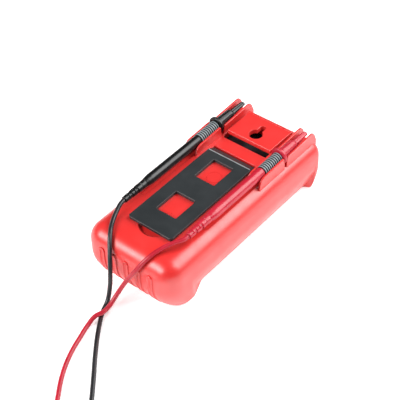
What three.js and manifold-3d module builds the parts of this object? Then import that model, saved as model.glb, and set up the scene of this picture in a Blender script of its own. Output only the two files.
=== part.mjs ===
// A handheld digital multimeter in a rubber holster, lying on its face with its tilt stand folded
// and its two test probes clipped to the back. Millimetres, +Z up, +Y towards the hanger end.
import * as THREE from "three";
import { mergeVertices } from "three/addons/utils/BufferGeometryUtils.js";
import Module from "manifold-3d";

const wasm = await Module();
wasm.setup();

// ---------------------------------------------------------------- driving dimensions
const GAP = 0.3; // clearance between neighbouring pieces

// holster: outer shell
const HALF_WIDTH = 48.3;
const NEAR_END = -105;
const FAR_END = 105;
const RIB_HEIGHT = 1;
const RIB_PITCH = 13;
const BACK = 50.5; // height of the holster's back face
const SHOULDER = 15; // radius between the back and the sides
const NEAR_CORNER = 17;
const FAR_CORNER = 6;
const BARREL_HEIGHT = 25; // below this the ends and sides draw in towards the front
const BARREL_IN_X = 0.05;
const BARREL_IN_NEAR = 0.104;
const BARREL_IN_FAR = 0.072;
const WAIST_DEPTH = 9.8; // how far the sides draw in at the front
const WAIST_HEIGHT = 26; // where they are full width again

// meter body inside the holster
const METER_HALF_WIDTH = 42.3;
const METER_HALF_LENGTH = 94.5;
const METER_CORNER = 14;
const METER_FRONT = 6.5;
const METER_FRONT_HALF_WIDTH = 38;
const METER_SPLIT = 24;
const METER_BACK = 44;
const METER_BACK_ROUND = 5.7;
const CASE_WALL = 2.4;
const FIT = 0.4; // holster cavity around the meter

// details of the holster
const RIB_HALF_WIDTH = 3;
const RIB_TOP = 39;
const OPENING_HALF_WIDTH = 35.8; // the front opening, inside its lip
const OPENING_HALF_LENGTH = 86;
const OPENING_CORNER = 9;
const TONGUE_GAP_HALF_WIDTH = 26.3;
const TONGUE_GAP_NEAR = 56.6;
const TONGUE_GAP_FAR = 87;
const THUMB_RECESS_Y = -65;
const HINGE_POCKET_NEAR = 35.6;
const HINGE_POCKET_FAR = 42.4;
const HINGE_POCKET_FLOOR = 45.8;
const GROOVE_X = 34; // shallow grooves under the probes
const GROOVE_HALF_WIDTH = 3.6;
const GROOVE_NEAR = -45.5;
const GROOVE_FAR = 57;
const GROOVE_FLOOR = 47.6;
const PAST = 120; // half size of a cutter that reaches well past the part

// tilt stand and its hinge
const STAND_HALF_WIDTH = 23.7;
const STAND_NEAR = -73.8;
const STAND_CREASE = 32.8;
const STAND_BOTTOM = BACK + GAP;
const STAND_TOP = STAND_BOTTOM + 3;
const WINDOW_HALF_WIDTH = 10.7;
const WINDOWS = [
  [-52.6, -26.3],
  [-1.9, 24.8],
];
const HINGE_Y = 38.7;
const HINGE_Z = 48.4;
const BARREL_RADIUS = 2.3;
const HINGE_PIN_RADIUS = 1;
const HINGE_PIN_HALF_LENGTH = 27.6;
const PIN_HOLE_RADIUS = HINGE_PIN_RADIUS + 0.15;

// hanger tongue with its keyhole
const TONGUE_HALF_WIDTH = 23.6;
const TONGUE_NEAR = 60.6;
const TONGUE_FAR = 91.2;
const TONGUE_TOP = 56.9;
const TONGUE_THICKNESS = 4.5;
const KEYHOLE_Y = 71;
const KEYHOLE_RADIUS = 6.4;
const KEYHOLE_SLOT = 2.7; // half width of the slot
const KEYHOLE_SLOT_END = 81.5;

// probe clips and probes
const PROBE_X = 35;
const PROBE_Z = 58.2;
const CLIP_INNER = 27.8;
const CLIP_OUTER = 40.3;
const CLIP_WALL = 1.9;

// front panel
const KNOB_Y = -10;
const KNOB_RADIUS = 20;
const BUTTON_Y = 28;
const BUTTON_X = [-27, -9, 9, 27];
const JACK_Y = -68;
const JACK_X = [-29, -9.7, 9.7, 29];
const DISPLAY_Y = 56;
const PANE_HALF_WIDTH = 30.7;
const PANE_HALF_LENGTH = 16.7;
const PANE_FLANGE = 2.8; // how far the pane's flange and the display frame reach past it
const KEY_HALF_WIDTH = 5.5;
const KEY_HALF_LENGTH = 3;
const JACK_HOLE_RADIUS = 6.4;
const BOARD_BOTTOM = 15.8;
const BOARD_TOP = 17.4;

// leads
const LEAD_DIAMETER = 4;
const LEAD_LIE = 2.1; // height of a lead's centreline on the surface
const PLUG_HEIGHT = 6.1;
const COIL_MIDDLE = 22; // radius at the middle of the turns
const COIL_HALF_BAND = 6;
const COIL_HEIGHT = 8;

// ---------------------------------------------------------------- finishes
const finish = (color, roughness, metalness = 0) =>
  new THREE.MeshStandardMaterial({ color, roughness, metalness });
const RED_RUBBER = finish(0xf0302a, 0.5);
const CHARCOAL = finish(0x3a3f42, 0.5);
const BLACK_PLASTIC = finish(0x1b1c1e, 0.45);
const GREY_RUBBER = finish(0x8d9296, 0.6);
const BLACK_VINYL = finish(0x202124, 0.35);
const RED_VINYL = finish(0xd8283f, 0.35);
const STEEL = finish(0xb9bcbf, 0.3, 1);
const BRASS = finish(0xc9a24a, 0.35, 1);
const BOARD_GREEN = finish(0x1f6b45, 0.5);
const GLASS = finish(0x9fb0a4, 0.1);
const GREY_PLASTIC = finish(0x6d7276, 0.5);
const YELLOW_PLASTIC = finish(0xe8b52a, 0.5);

// ---------------------------------------------------------------- helpers
function solidOf(geometry) {
  const bare = new THREE.BufferGeometry();
  bare.setAttribute("position", geometry.getAttribute("position"));
  if (geometry.index) bare.setIndex(geometry.index);
  const merged = mergeVertices(bare, 1e-4);
  return new wasm.Manifold(
    new wasm.Mesh({
      numProp: 3,
      vertProperties: merged.getAttribute("position").array,
      triVerts: new Uint32Array(merged.index.array),
    }),
  );
}

function geometryOf(solid) {
  const mesh = solid.getMesh();
  const geometry = new THREE.BufferGeometry();
  geometry.setAttribute("position", new THREE.BufferAttribute(mesh.vertProperties, 3));
  geometry.setIndex(new THREE.BufferAttribute(mesh.triVerts, 1));
  return geometry;
}

const join = (first, ...rest) => rest.reduce((whole, piece) => whole.add(piece), first);
const cut = (first, ...rest) => rest.reduce((whole, piece) => whole.subtract(piece), first);

function box(x0, x1, y0, y1, z0, z1) {
  const geometry = new THREE.BoxGeometry(x1 - x0, y1 - y0, z1 - z0);
  return solidOf(geometry.translate((x0 + x1) / 2, (y0 + y1) / 2, (z0 + z1) / 2));
}

// A rectangle with round corners: near corners of one radius, far corners of another.
function outline(halfWidth, near, far, nearCorner, farCorner = nearCorner) {
  const shape = new THREE.Shape();
  shape.moveTo(-halfWidth + nearCorner, near);
  shape.lineTo(halfWidth - nearCorner, near);
  shape.absarc(halfWidth - nearCorner, near + nearCorner, nearCorner, -Math.PI / 2, 0);
  shape.lineTo(halfWidth, far - farCorner);
  shape.absarc(halfWidth - farCorner, far - farCorner, farCorner, 0, Math.PI / 2);
  shape.lineTo(-halfWidth + farCorner, far);
  shape.absarc(-halfWidth + farCorner, far - farCorner, farCorner, Math.PI / 2, Math.PI);
  shape.lineTo(-halfWidth, near + nearCorner);
  shape.absarc(-halfWidth + nearCorner, near + nearCorner, nearCorner, Math.PI, Math.PI * 1.5);
  shape.closePath();
  return shape;
}

// The same, centred on a point.
function pad(x, y, halfWidth, halfLength, corner) {
  const shape = new THREE.Shape();
  const points = outline(halfWidth, -halfLength, halfLength, corner).getPoints(2);
  shape.setFromPoints(points.map((p) => new THREE.Vector2(p.x + x, p.y + y)));
  return shape;
}

function polygon(points) {
  return new THREE.Shape(points.map(([a, b]) => new THREE.Vector2(a, b)));
}

// Upright prism of a plan outline.
function prismZ(shape, bottom, top, curveSegments = 5) {
  const options = { depth: top - bottom, bevelEnabled: false, curveSegments };
  return solidOf(new THREE.ExtrudeGeometry(shape, options).translate(0, 0, bottom));
}

// Upright block whose upper and lower rims are rounded.
function roundedBlock(shape, bottom, top, round, bevelSegments, curveSegments, warp) {
  const options = {
    depth: top - bottom - 2 * round,
    bevelThickness: round,
    bevelSize: round,
    bevelOffset: -round,
    bevelSegments,
    curveSegments,
    steps: warp ? 6 : 1,
  };
  const geometry = new THREE.ExtrudeGeometry(shape, options).translate(0, 0, bottom + round);
  if (warp) warp(geometry);
  return solidOf(geometry);
}

// Prism along X of a (y, z) outline.
function prismX(points, left, right) {
  const options = { depth: right - left, bevelEnabled: false };
  const turn = new THREE.Matrix4().makeBasis(
    new THREE.Vector3(0, 1, 0),
    new THREE.Vector3(0, 0, 1),
    new THREE.Vector3(1, 0, 0),
  );
  const geometry = new THREE.ExtrudeGeometry(polygon(points), options).applyMatrix4(turn);
  return solidOf(geometry.translate(left, 0, 0));
}

// Prism along Y of an (x, z) outline.
function prismY(shape, near, far, curveSegments = 4) {
  const options = { depth: far - near, bevelEnabled: false, curveSegments };
  const turn = new THREE.Matrix4().makeBasis(
    new THREE.Vector3(1, 0, 0),
    new THREE.Vector3(0, 0, 1),
    new THREE.Vector3(0, -1, 0),
  );
  const geometry = new THREE.ExtrudeGeometry(shape, options).applyMatrix4(turn);
  return solidOf(geometry.translate(0, far, 0));
}

// A profile of [radius, height] turned about an axis, from the lower end on the axis to the upper.
function turned(profile, segments, axis, x = 0, y = 0, z = 0) {
  const points = profile.map(([radius, height]) => new THREE.Vector2(radius, height));
  const geometry = new THREE.LatheGeometry(points, segments);
  if (axis === "x") geometry.rotateZ(-Math.PI / 2);
  if (axis === "z") geometry.rotateX(Math.PI / 2);
  return solidOf(geometry.translate(x, y, z));
}

function rod(radius, from, to, segments, axis, x = 0, y = 0, z = 0) {
  const profile = [
    [0, from],
    [radius, from],
    [radius, to],
    [0, to],
  ];
  return turned(profile, segments, axis, x, y, z);
}

const multimeter = new THREE.Group();

function part(name, solid, material) {
  const mesh = new THREE.Mesh(geometryOf(solid), material);
  mesh.name = name;
  multimeter.add(mesh);
}

const SIDES = [
  ["black", -1],
  ["red", 1],
];

// ---------------------------------------------------------------- holster
// Half width of the drawn-in side at a height: full at the waist height, narrowest at the front rim.
function sideHalfWidth(z) {
  return HALF_WIDTH - WAIST_DEPTH * Math.max(0, 1 - z / WAIST_HEIGHT) ** 1.5;
}

// The ends and sides draw in towards the front rim, by the square of the depth below BARREL_HEIGHT.
function barrel(geometry) {
  const position = geometry.getAttribute("position");
  for (let i = 0; i < position.count; i += 1) {
    const z = Math.max(0, position.getZ(i));
    const low = Math.max(0, 1 - z / BARREL_HEIGHT) ** 2;
    position.setX(i, position.getX(i) * (1 - BARREL_IN_X * low));
    const y = position.getY(i);
    position.setY(i, y * (1 - (y < 0 ? BARREL_IN_NEAR : BARREL_IN_FAR) * low));
  }
}

function barrelPrism(shape, bottom, top) {
  const options = { depth: top - bottom, bevelEnabled: false, curveSegments: 5, steps: 10 };
  const geometry = new THREE.ExtrudeGeometry(shape, options).translate(0, 0, bottom);
  barrel(geometry);
  return solidOf(geometry);
}

function holsterShell() {
  const overrun = 40;
  const sides = outline(HALF_WIDTH, NEAR_END, FAR_END + overrun, NEAR_CORNER);
  const block = roundedBlock(sides, -SHOULDER, BACK, SHOULDER, 6, 5, barrel);
  const ends = outline(HALF_WIDTH, NEAR_END - overrun, FAR_END, FAR_CORNER);
  const farEdge = [
    [-PAST, 0],
    [PAST, 0],
    [FAR_END + 8, 38],
    [FAR_END, 43],
    [FAR_END - 2.2, 48.3],
    [FAR_END - 7, BACK],
    [FAR_END - 7, BACK + 1],
    [-PAST, BACK + 1],
  ];
  let shell = block.intersect(barrelPrism(ends, 0, BACK + 2));
  shell = shell.intersect(prismX(farEdge, -HALF_WIDTH - 1, HALF_WIDTH + 1));
  const steps = 5;
  for (const side of [-1, 1]) {
    const waist = [];
    for (let i = 0; i <= steps; i += 1) {
      const z = (WAIST_HEIGHT * i) / steps;
      waist.push([side * sideHalfWidth(z), z]);
    }
    waist.push([side * 60, WAIST_HEIGHT], [side * 60, -1], [side * sideHalfWidth(0), -1]);
    const reach = [
      [30, -50],
      [38.4, -55],
      [45, -71],
      [47.8, -77],
      [60, -77],
      [60, 98],
      [47.8, 96.2],
      [38.4, 91.4],
      [30, 88],
    ].map(([x, y]) => [side * x, y]);
    const wedge = prismY(polygon(waist), -80, 100).intersect(
      prismZ(polygon(reach), -1, WAIST_HEIGHT + 1),
    );
    shell = shell.subtract(wedge);
  }
  return shell;
}

// Five upright grip ribs with round tops on the near end.
function gripRibs() {
  const ribs = [];
  const half = RIB_HALF_WIDTH;
  for (let x = -2 * RIB_PITCH; x <= 2 * RIB_PITCH; x += RIB_PITCH) {
    const pill = new THREE.Shape();
    pill.moveTo(x - half, -1);
    pill.lineTo(x + half, -1);
    pill.lineTo(x + half, RIB_TOP - half);
    pill.absarc(x, RIB_TOP - half, half, 0, Math.PI);
    pill.closePath();
    ribs.push(prismY(pill, NEAR_END - 3, NEAR_END + 12));
  }
  const proud = outline(HALF_WIDTH + 4, NEAR_END - RIB_HEIGHT, 0, NEAR_CORNER);
  return join(...ribs).intersect(barrelPrism(proud, 0, RIB_TOP + 5));
}

// Clip walls: section A grips the probe's sleeve, section B guards its tip, the finger guard between.
function clipWalls() {
  const sectionA = [
    [20.5, 44],
    [21.3, 50.5],
    [23, 56.4],
    [26.5, 59],
    [56.2, 60.2],
    [57.4, 50],
    [57.4, 44],
  ];
  const sectionB = [
    [60.2, 38],
    [60.2, 50],
    [61.4, 58.7],
    [97, 60.4],
    [99.4, 59.8],
    [101.8, 57],
    [FAR_END - 0.4, 50],
    [FAR_END - 0.4, 38],
  ];
  const walls = [];
  for (const side of [-1, 1]) {
    for (const face of [CLIP_INNER, CLIP_OUTER]) {
      const left = Math.min(side * face, side * (face + CLIP_WALL));
      walls.push(prismX(sectionA, left, left + CLIP_WALL));
      walls.push(prismX(sectionB, left, left + CLIP_WALL));
    }
  }
  return join(...walls);
}

function hangerTongue() {
  const bottom = TONGUE_TOP - TONGUE_THICKNESS;
  const root = [
    [85.5, 42],
    [85.5, TONGUE_TOP],
    [TONGUE_FAR, TONGUE_TOP],
    [TONGUE_FAR + 1.2, 56],
    [FAR_END - 2.4, 46],
    [FAR_END - 2.4, 38],
    [90, 38],
  ];
  const tongue = join(
    prismZ(outline(TONGUE_HALF_WIDTH, TONGUE_NEAR, 90, 1.2, 0.1), bottom, TONGUE_TOP, 2),
    prismX(root, -TONGUE_HALF_WIDTH, TONGUE_HALF_WIDTH),
  );
  const hole = rod(KEYHOLE_RADIUS, 40, 60, 16, "z", 0, KEYHOLE_Y);
  const slot = box(-KEYHOLE_SLOT, KEYHOLE_SLOT, KEYHOLE_Y, KEYHOLE_SLOT_END, 40, 60);
  const slotEnd = rod(KEYHOLE_SLOT, 40, 60, 10, "z", 0, KEYHOLE_SLOT_END);
  return cut(tongue, hole, slot, slotEnd);
}

// The space for the meter, open at the front behind a lip.
function meterCavity() {
  const half = METER_HALF_WIDTH + FIT;
  const end = METER_HALF_LENGTH + FIT;
  const top = METER_BACK + FIT;
  const low = METER_FRONT - GAP;
  const plan = outline(half, -end, end, METER_CORNER);
  const block = roundedBlock(plan, -20, top, METER_BACK_ROUND, 3, 4);
  const front = METER_FRONT_HALF_WIDTH + FIT;
  const taper = [
    [-front, low],
    [front, low],
    [half, METER_SPLIT],
    [half, top + 1],
    [-half, top + 1],
    [-half, METER_SPLIT],
  ];
  const space = block.intersect(prismY(polygon(taper), -PAST, PAST));
  const mouth = outline(
    OPENING_HALF_WIDTH, -OPENING_HALF_LENGTH, OPENING_HALF_LENGTH, OPENING_CORNER,
  );
  return join(space, prismZ(mouth, -1, low + 1, 4));
}

function holster() {
  const gap = outline(TONGUE_GAP_HALF_WIDTH, TONGUE_GAP_NEAR, TONGUE_GAP_FAR, 2.5);
  const opening = prismZ(gap, 38, 70, 3);
  const dish = [
    [0, 47.7],
    [12, 47.7],
    [14, 48.4],
    [15, 52],
    [0, 52],
  ];
  const thumbRecess = turned(dish, 18, "z", 0, THUMB_RECESS_Y, 0);
  const hingeEnds = STAND_HALF_WIDTH + 0.5;
  const hingePocket = box(
    -hingeEnds, hingeEnds, HINGE_POCKET_NEAR, HINGE_POCKET_FAR, HINGE_POCKET_FLOOR, 60,
  );
  let shell = cut(holsterShell(), opening, thumbRecess, hingePocket);
  for (const side of [-1, 1]) {
    const left = side * GROOVE_X - GROOVE_HALF_WIDTH;
    const right = side * GROOVE_X + GROOVE_HALF_WIDTH;
    shell = shell.subtract(box(left, right, GROOVE_NEAR, GROOVE_FAR, GROOVE_FLOOR, 60));
  }
  shell = join(shell, clipWalls(), hangerTongue(), gripRibs());
  const pinHole = rod(PIN_HOLE_RADIUS, -28, 28, 10, "x", 0, HINGE_Y, HINGE_Z);
  return cut(shell, meterCavity(), pinHole);
}

part("holster", holster(), RED_RUBBER);

// ---------------------------------------------------------------- tilt stand
function tiltStand() {
  const plan = outline(STAND_HALF_WIDTH, STAND_NEAR, STAND_CREASE, 3, 0.2);
  for (const [near, far] of WINDOWS) {
    plan.holes.push(outline(WINDOW_HALF_WIDTH, near, far, 1));
  }
  const plate = prismZ(plan, STAND_BOTTOM, STAND_TOP, 2);
  const hingeSection = [
    [STAND_CREASE - 0.4, STAND_BOTTOM],
    [35.9, STAND_BOTTOM],
    [36.9, 49.8],
    [HINGE_Y, HINGE_Z],
    [39.9, 50.35],
    [STAND_CREASE, STAND_TOP],
    [STAND_CREASE - 0.4, STAND_TOP],
  ];
  const web = prismX(hingeSection, -STAND_HALF_WIDTH, STAND_HALF_WIDTH);
  const barrel = rod(
    BARREL_RADIUS, -STAND_HALF_WIDTH, STAND_HALF_WIDTH, 12, "x", 0, HINGE_Y, HINGE_Z,
  );
  const bore = rod(PIN_HOLE_RADIUS, -30, 30, 10, "x", 0, HINGE_Y, HINGE_Z);
  return cut(join(plate, web, barrel), bore);
}

part("tilt_stand", tiltStand(), CHARCOAL);
const pin = rod(
  HINGE_PIN_RADIUS, -HINGE_PIN_HALF_LENGTH, HINGE_PIN_HALF_LENGTH, 10, "x", 0, HINGE_Y, HINGE_Z,
);
part("hinge_pin", pin, STEEL);

// ---------------------------------------------------------------- meter case
const BOSSES = [
  [-32, -81],
  [32, -81],
  [-32, 81],
  [32, 81],
];
const BOSS_RADIUS = 3.8;
const BATTERY_Y = -62;
const BATTERY_HALF_WIDTH = 13;
const DOOR_X = -2.15;
const DOOR_Y = -58.4;
const DOOR_SCREW_Y = BATTERY_Y + 17.4;

function frontCase() {
  const plan = outline(METER_HALF_WIDTH, -METER_HALF_LENGTH, METER_HALF_LENGTH, METER_CORNER);
  const half = METER_HALF_WIDTH;
  const front = METER_FRONT_HALF_WIDTH;
  const taper = [
    [-front + 1, METER_FRONT],
    [front - 1, METER_FRONT],
    [front + 0.2, METER_FRONT + 1],
    [half, METER_SPLIT],
    [-half, METER_SPLIT],
    [-front - 0.2, METER_FRONT + 1],
  ];
  const hollowTaper = [
    [-front + CASE_WALL, METER_FRONT + CASE_WALL],
    [front - CASE_WALL, METER_FRONT + CASE_WALL],
    [half - CASE_WALL, METER_SPLIT + 1],
    [-half + CASE_WALL, METER_SPLIT + 1],
  ];
  const end = METER_HALF_LENGTH - CASE_WALL;
  const hollowPlan = outline(half - CASE_WALL, -end, end, METER_CORNER - CASE_WALL);
  const hollow = prismZ(hollowPlan, METER_FRONT + CASE_WALL, METER_SPLIT + 1, 3).intersect(
    prismY(polygon(hollowTaper), -PAST, PAST),
  );
  let body = prismZ(plan, METER_FRONT, METER_SPLIT, 4).intersect(
    prismY(polygon(taper), -PAST, PAST),
  );
  body = body.subtract(hollow);
  for (const [x, y] of BOSSES) {
    body = body.add(rod(BOSS_RADIUS, METER_FRONT + 1, METER_SPLIT - GAP, 8, "z", x, y));
    body = body.subtract(rod(1.5, 11, METER_SPLIT + 1, 6, "z", x, y));
  }
  body = body.subtract(prismZ(pad(0, DISPLAY_Y, PANE_HALF_WIDTH + GAP, PANE_HALF_LENGTH + GAP, 2), 5, 12));
  body = body.subtract(rod(6.6, 5, 12, 16, "z", 0, KNOB_Y));
  const keyHole = [KEY_HALF_WIDTH + GAP, KEY_HALF_LENGTH + GAP];
  for (const x of BUTTON_X) body = body.subtract(prismZ(pad(x, BUTTON_Y, ...keyHole, 1.5), 5, 12));
  for (const x of JACK_X) body = body.subtract(rod(JACK_HOLE_RADIUS, 5, 12, 10, "z", x, JACK_Y));
  return body;
}

function rearCase() {
  const end = METER_HALF_LENGTH;
  const low = METER_SPLIT + GAP;
  const above = box(-PAST, PAST, -PAST, PAST, low, 60);
  const plan = outline(METER_HALF_WIDTH, -end, end, METER_CORNER);
  const block = roundedBlock(plan, 0, METER_BACK, METER_BACK_ROUND, 3, 4).intersect(above);
  const half = METER_HALF_WIDTH - CASE_WALL;
  const inner = end - CASE_WALL;
  const hollowPlan = outline(half, -inner, inner, METER_CORNER - CASE_WALL);
  const hollow = roundedBlock(hollowPlan, 0, METER_BACK - CASE_WALL, 4, 2, 3);
  let body = block.subtract(hollow);
  const walls = box(-30.2, 25.9, BATTERY_Y - 14.9, BATTERY_Y + 14.9, low + 1, METER_BACK - 2);
  const compartment = box(-29, 24.7, BATTERY_Y - 13.7, BATTERY_Y + 13.7, low, METER_BACK);
  const screwPost = box(-2.8, 2.8, BATTERY_Y + 14, BATTERY_Y + 23, 30, METER_BACK - 2);
  body = join(body, walls, screwPost);
  for (const [x, y] of BOSSES) {
    body = body.add(rod(BOSS_RADIUS, low, METER_BACK - 1, 8, "z", x, y));
    body = body.subtract(rod(1.6, low - 1, 50, 6, "z", x, y));
    body = body.subtract(rod(3.2, 40, 50, 8, "z", x, y));
  }
  const doorway = prismZ(pad(DOOR_X, DOOR_Y, 27.5, 17.9, 2), METER_BACK - 2.5, 50);
  const postHole = rod(1.3, 25, METER_BACK, 8, "z", 0, DOOR_SCREW_Y);
  return cut(body, compartment, doorway, postHole);
}

part("front_case", frontCase(), BLACK_PLASTIC);
part("rear_case", rearCase(), BLACK_PLASTIC);

function screw(headRadius, headBottom, headTop, shankRadius, shankBottom, x, y) {
  const profile = [
    [0, shankBottom],
    [shankRadius, shankBottom],
    [shankRadius, headBottom],
    [headRadius, headBottom],
    [headRadius, headTop],
    [0, headTop],
  ];
  const whole = turned(profile, 8, "z", x, y);
  const long = headRadius * 0.7;
  return cut(whole, box(x - long, x + long, y - 0.4, y + 0.4, headTop - 0.8, headTop + 1));
}

BOSSES.forEach(([x, y], i) => {
  part(`case_screw_${i + 1}`, screw(2.7, 40.3, 42.6, 1.25, 12, x, y), STEEL);
});

function batteryDoor() {
  const plate = prismZ(pad(DOOR_X, DOOR_Y, 27.2, 17.6, 1.8), METER_BACK - 2.2, METER_BACK - 0.1);
  const shankHole = rod(1.4, 40, 46, 8, "z", 0, DOOR_SCREW_Y);
  return cut(plate, shankHole, rod(2.7, 42.9, 46, 12, "z", 0, DOOR_SCREW_Y));
}

part("battery_door", batteryDoor(), BLACK_PLASTIC);
part("battery_door_screw", screw(2.3, 43.2, 43.9, 1, 34, 0, DOOR_SCREW_Y), STEEL);

function battery() {
  const near = BATTERY_Y - BATTERY_HALF_WIDTH;
  const can = box(-24, 24.3, near, BATTERY_Y + BATTERY_HALF_WIDTH, 24.7, 41.2);
  const studs = [-6.3, 6.3].map((dy) => rod(3, -25.2, -23, 10, "x", 0, BATTERY_Y + dy, 33));
  return join(can, ...studs);
}

part("battery", battery(), GREY_PLASTIC);
part("battery_snap", box(-28.4, -25.5, BATTERY_Y - 12, BATTERY_Y + 12, 27, 39), BLACK_PLASTIC);

// ---------------------------------------------------------------- board and what it carries
function mainBoard() {
  const holes = JACK_X.map((x) => rod(JACK_HOLE_RADIUS + 0.1, 10, 20, 10, "z", x, JACK_Y));
  const spindle = rod(3, 10, 20, 10, "z", 0, KNOB_Y);
  return cut(prismZ(outline(36, -76.4, 77, 3), BOARD_BOTTOM, BOARD_TOP, 3), ...holes, spindle);
}

part("main_board", mainBoard(), BOARD_GREEN);

function displayFlange() {
  return pad(0, DISPLAY_Y, PANE_HALF_WIDTH + PANE_FLANGE, PANE_HALF_LENGTH + PANE_FLANGE, 2);
}

function displayWindow() {
  return join(
    prismZ(pad(0, DISPLAY_Y, PANE_HALF_WIDTH, PANE_HALF_LENGTH, 1.8), METER_FRONT + 0.4, 9.6),
    prismZ(displayFlange(), 9.2, 10),
  );
}

part("display_window", displayWindow(), GLASS);
part(
  "lcd_frame",
  cut(
    prismZ(displayFlange(), 10.3, 15.5),
    prismZ(pad(0, DISPLAY_Y, 30.3, 16.3, 1), 9, 17),
  ),
  GREY_PLASTIC,
);
part("lcd_glass", prismZ(pad(0, DISPLAY_Y, 30, 16, 0.6), 10.4, 13.2, 2), GLASS);
for (const [i, dy] of [-13.5, 13.5].entries()) {
  const y = DISPLAY_Y + dy;
  part(`zebra_strip_${i + 1}`, box(-28.5, 28.5, y - 1.2, y + 1.2, 13.5, 15.5), GREY_RUBBER);
}
part("button_mat", prismZ(pad(0, BUTTON_Y, 33.5, 5.2, 1), 13, 15.5), GREY_RUBBER);
part("main_chip", box(-19, -1, 36, 54, BOARD_TOP + GAP, 20), BLACK_PLASTIC);

function buzzer() {
  const profile = [
    [0, 17.8],
    [11, 17.8],
    [11, 22],
    [1.5, 22],
    [1.5, 21],
    [0, 21],
  ];
  return turned(profile, 16, "z", 21, 48);
}

part("buzzer", buzzer(), BLACK_PLASTIC);

// Cartridge fuses lie across the board in spring clips.
function fuse(radius, halfLength, y, z) {
  const profile = [
    [0, -halfLength],
    [radius, -halfLength],
    [radius, -halfLength + 6],
    [radius - 0.35, -halfLength + 6],
    [radius - 0.35, halfLength - 6],
    [radius, halfLength - 6],
    [radius, halfLength],
    [0, halfLength],
  ];
  return turned(profile, 10, "x", 0, y, z);
}

function fuseClip(radius, x, y, z) {
  const outer = box(x - 2.4, x + 2.4, y - radius - 0.9, y + radius + 0.9, 17.7, z + radius * 0.6);
  const bore = rod(radius + GAP, x - 4, x + 4, 10, "x", 0, y, z);
  const mouth = box(x - 4, x + 4, y - radius * 0.75, y + radius * 0.75, z, 40);
  return cut(outer, bore, mouth);
}

const FUSES = [
  ["small", 3.2, 16, -39, 21.9],
  ["large", 5.1, 19, 6, 23.8],
];
for (const [name, radius, halfLength, y, z] of FUSES) {
  part(`fuse_${name}`, fuse(radius, halfLength, y, z), GLASS);
  for (const [i, side] of [-1, 1].entries()) {
    part(`fuse_clip_${name}_${i + 1}`, fuseClip(radius, side * (halfLength - 3), y, z), BRASS);
  }
}

// A thick bent wire carries the high-current range.
function currentShunt() {
  const loop = new THREE.CatmullRomCurve3([
    new THREE.Vector3(24, -48, 17.8),
    new THREE.Vector3(24, -48, 20.6),
    new THREE.Vector3(24.4, -46.5, 21.9),
    new THREE.Vector3(25, -41, 22.1),
    new THREE.Vector3(25, -33, 22.1),
    new THREE.Vector3(25.6, -27.5, 21.9),
    new THREE.Vector3(26, -26, 20.6),
    new THREE.Vector3(26, -26, 17.8),
  ]);
  const section = new THREE.Shape().absarc(0, 0, 0.9, 0, Math.PI * 2);
  const options = { steps: 12, extrudePath: loop, curveSegments: 3, bevelEnabled: false };
  return solidOf(new THREE.ExtrudeGeometry(section, options));
}

part("current_shunt", currentShunt(), BRASS);

// Input jack: a plastic well with the contact tube recessed at its floor.
function inputJack(x) {
  const profile = [
    [0, 20.2],
    [6, 20.2],
    [6, 6.8],
    [4.8, 6.8],
    [4.8, 18],
    [2.9, 18],
    [2.9, 14.4],
    [2.05, 14.4],
    [2.05, 19],
    [0, 19],
  ];
  return turned(profile.reverse(), 10, "z", x, JACK_Y);
}

const JACKS = ["high_current", "low_current", "common", "volt_ohm"];
JACKS.forEach((name, i) => {
  part(`input_jack_${name}`, inputJack(JACK_X[i]), i === 2 ? BLACK_PLASTIC : RED_VINYL);
});

// ---------------------------------------------------------------- controls on the front
function selectorKnob() {
  const profile = [
    [0, 2.6],
    [17.6, 2.6],
    [19.4, 3.4],
    [KNOB_RADIUS, 6],
    [6.2, 6],
    [6.2, 11.6],
    [0, 11.6],
  ];
  const bar = prismZ(pad(0, KNOB_Y, 3.6, 17.5, 2.5), 0.6, 3);
  return turned(profile, 24, "z", 0, KNOB_Y).add(bar);
}

function selectorRotor() {
  const profile = [
    [6.5, 10],
    [15, 10],
    [15, 12.2],
    [6.5, 12.2],
    [6.5, 10],
  ];
  return turned(profile, 16, "z", 0, KNOB_Y);
}

function wiperRing() {
  const profile = [
    [9, 12.5],
    [14, 12.5],
    [14, 13.1],
    [9, 13.1],
    [9, 12.5],
  ];
  const ring = turned(profile, 16, "z", 0, KNOB_Y);
  const fingers = [0, 1, 2].map((i) => {
    const angle = (i * 2 * Math.PI) / 3;
    const x = 11.5 * Math.cos(angle);
    return rod(1.2, 12.8, 15.4, 8, "z", x, KNOB_Y + 11.5 * Math.sin(angle));
  });
  return join(ring, ...fingers);
}

part("selector_knob", selectorKnob(), CHARCOAL);
part("selector_rotor", selectorRotor(), GREY_PLASTIC);
part("wiper_ring", wiperRing(), BRASS);

const BUTTONS = ["power", "hold", "range", "backlight"];
BUTTONS.forEach((name, i) => {
  const x = BUTTON_X[i];
  const key = join(
    prismZ(pad(x, BUTTON_Y, KEY_HALF_WIDTH, KEY_HALF_LENGTH, 1.3), 4.6, 9.6),
    prismZ(pad(x, BUTTON_Y, KEY_HALF_WIDTH + 1.3, KEY_HALF_LENGTH + 1.3, 1.3), 9.2, 10.2),
  );
  part(`button_${name}`, key, i === 0 ? YELLOW_PLASTIC : GREY_PLASTIC);
});

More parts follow.
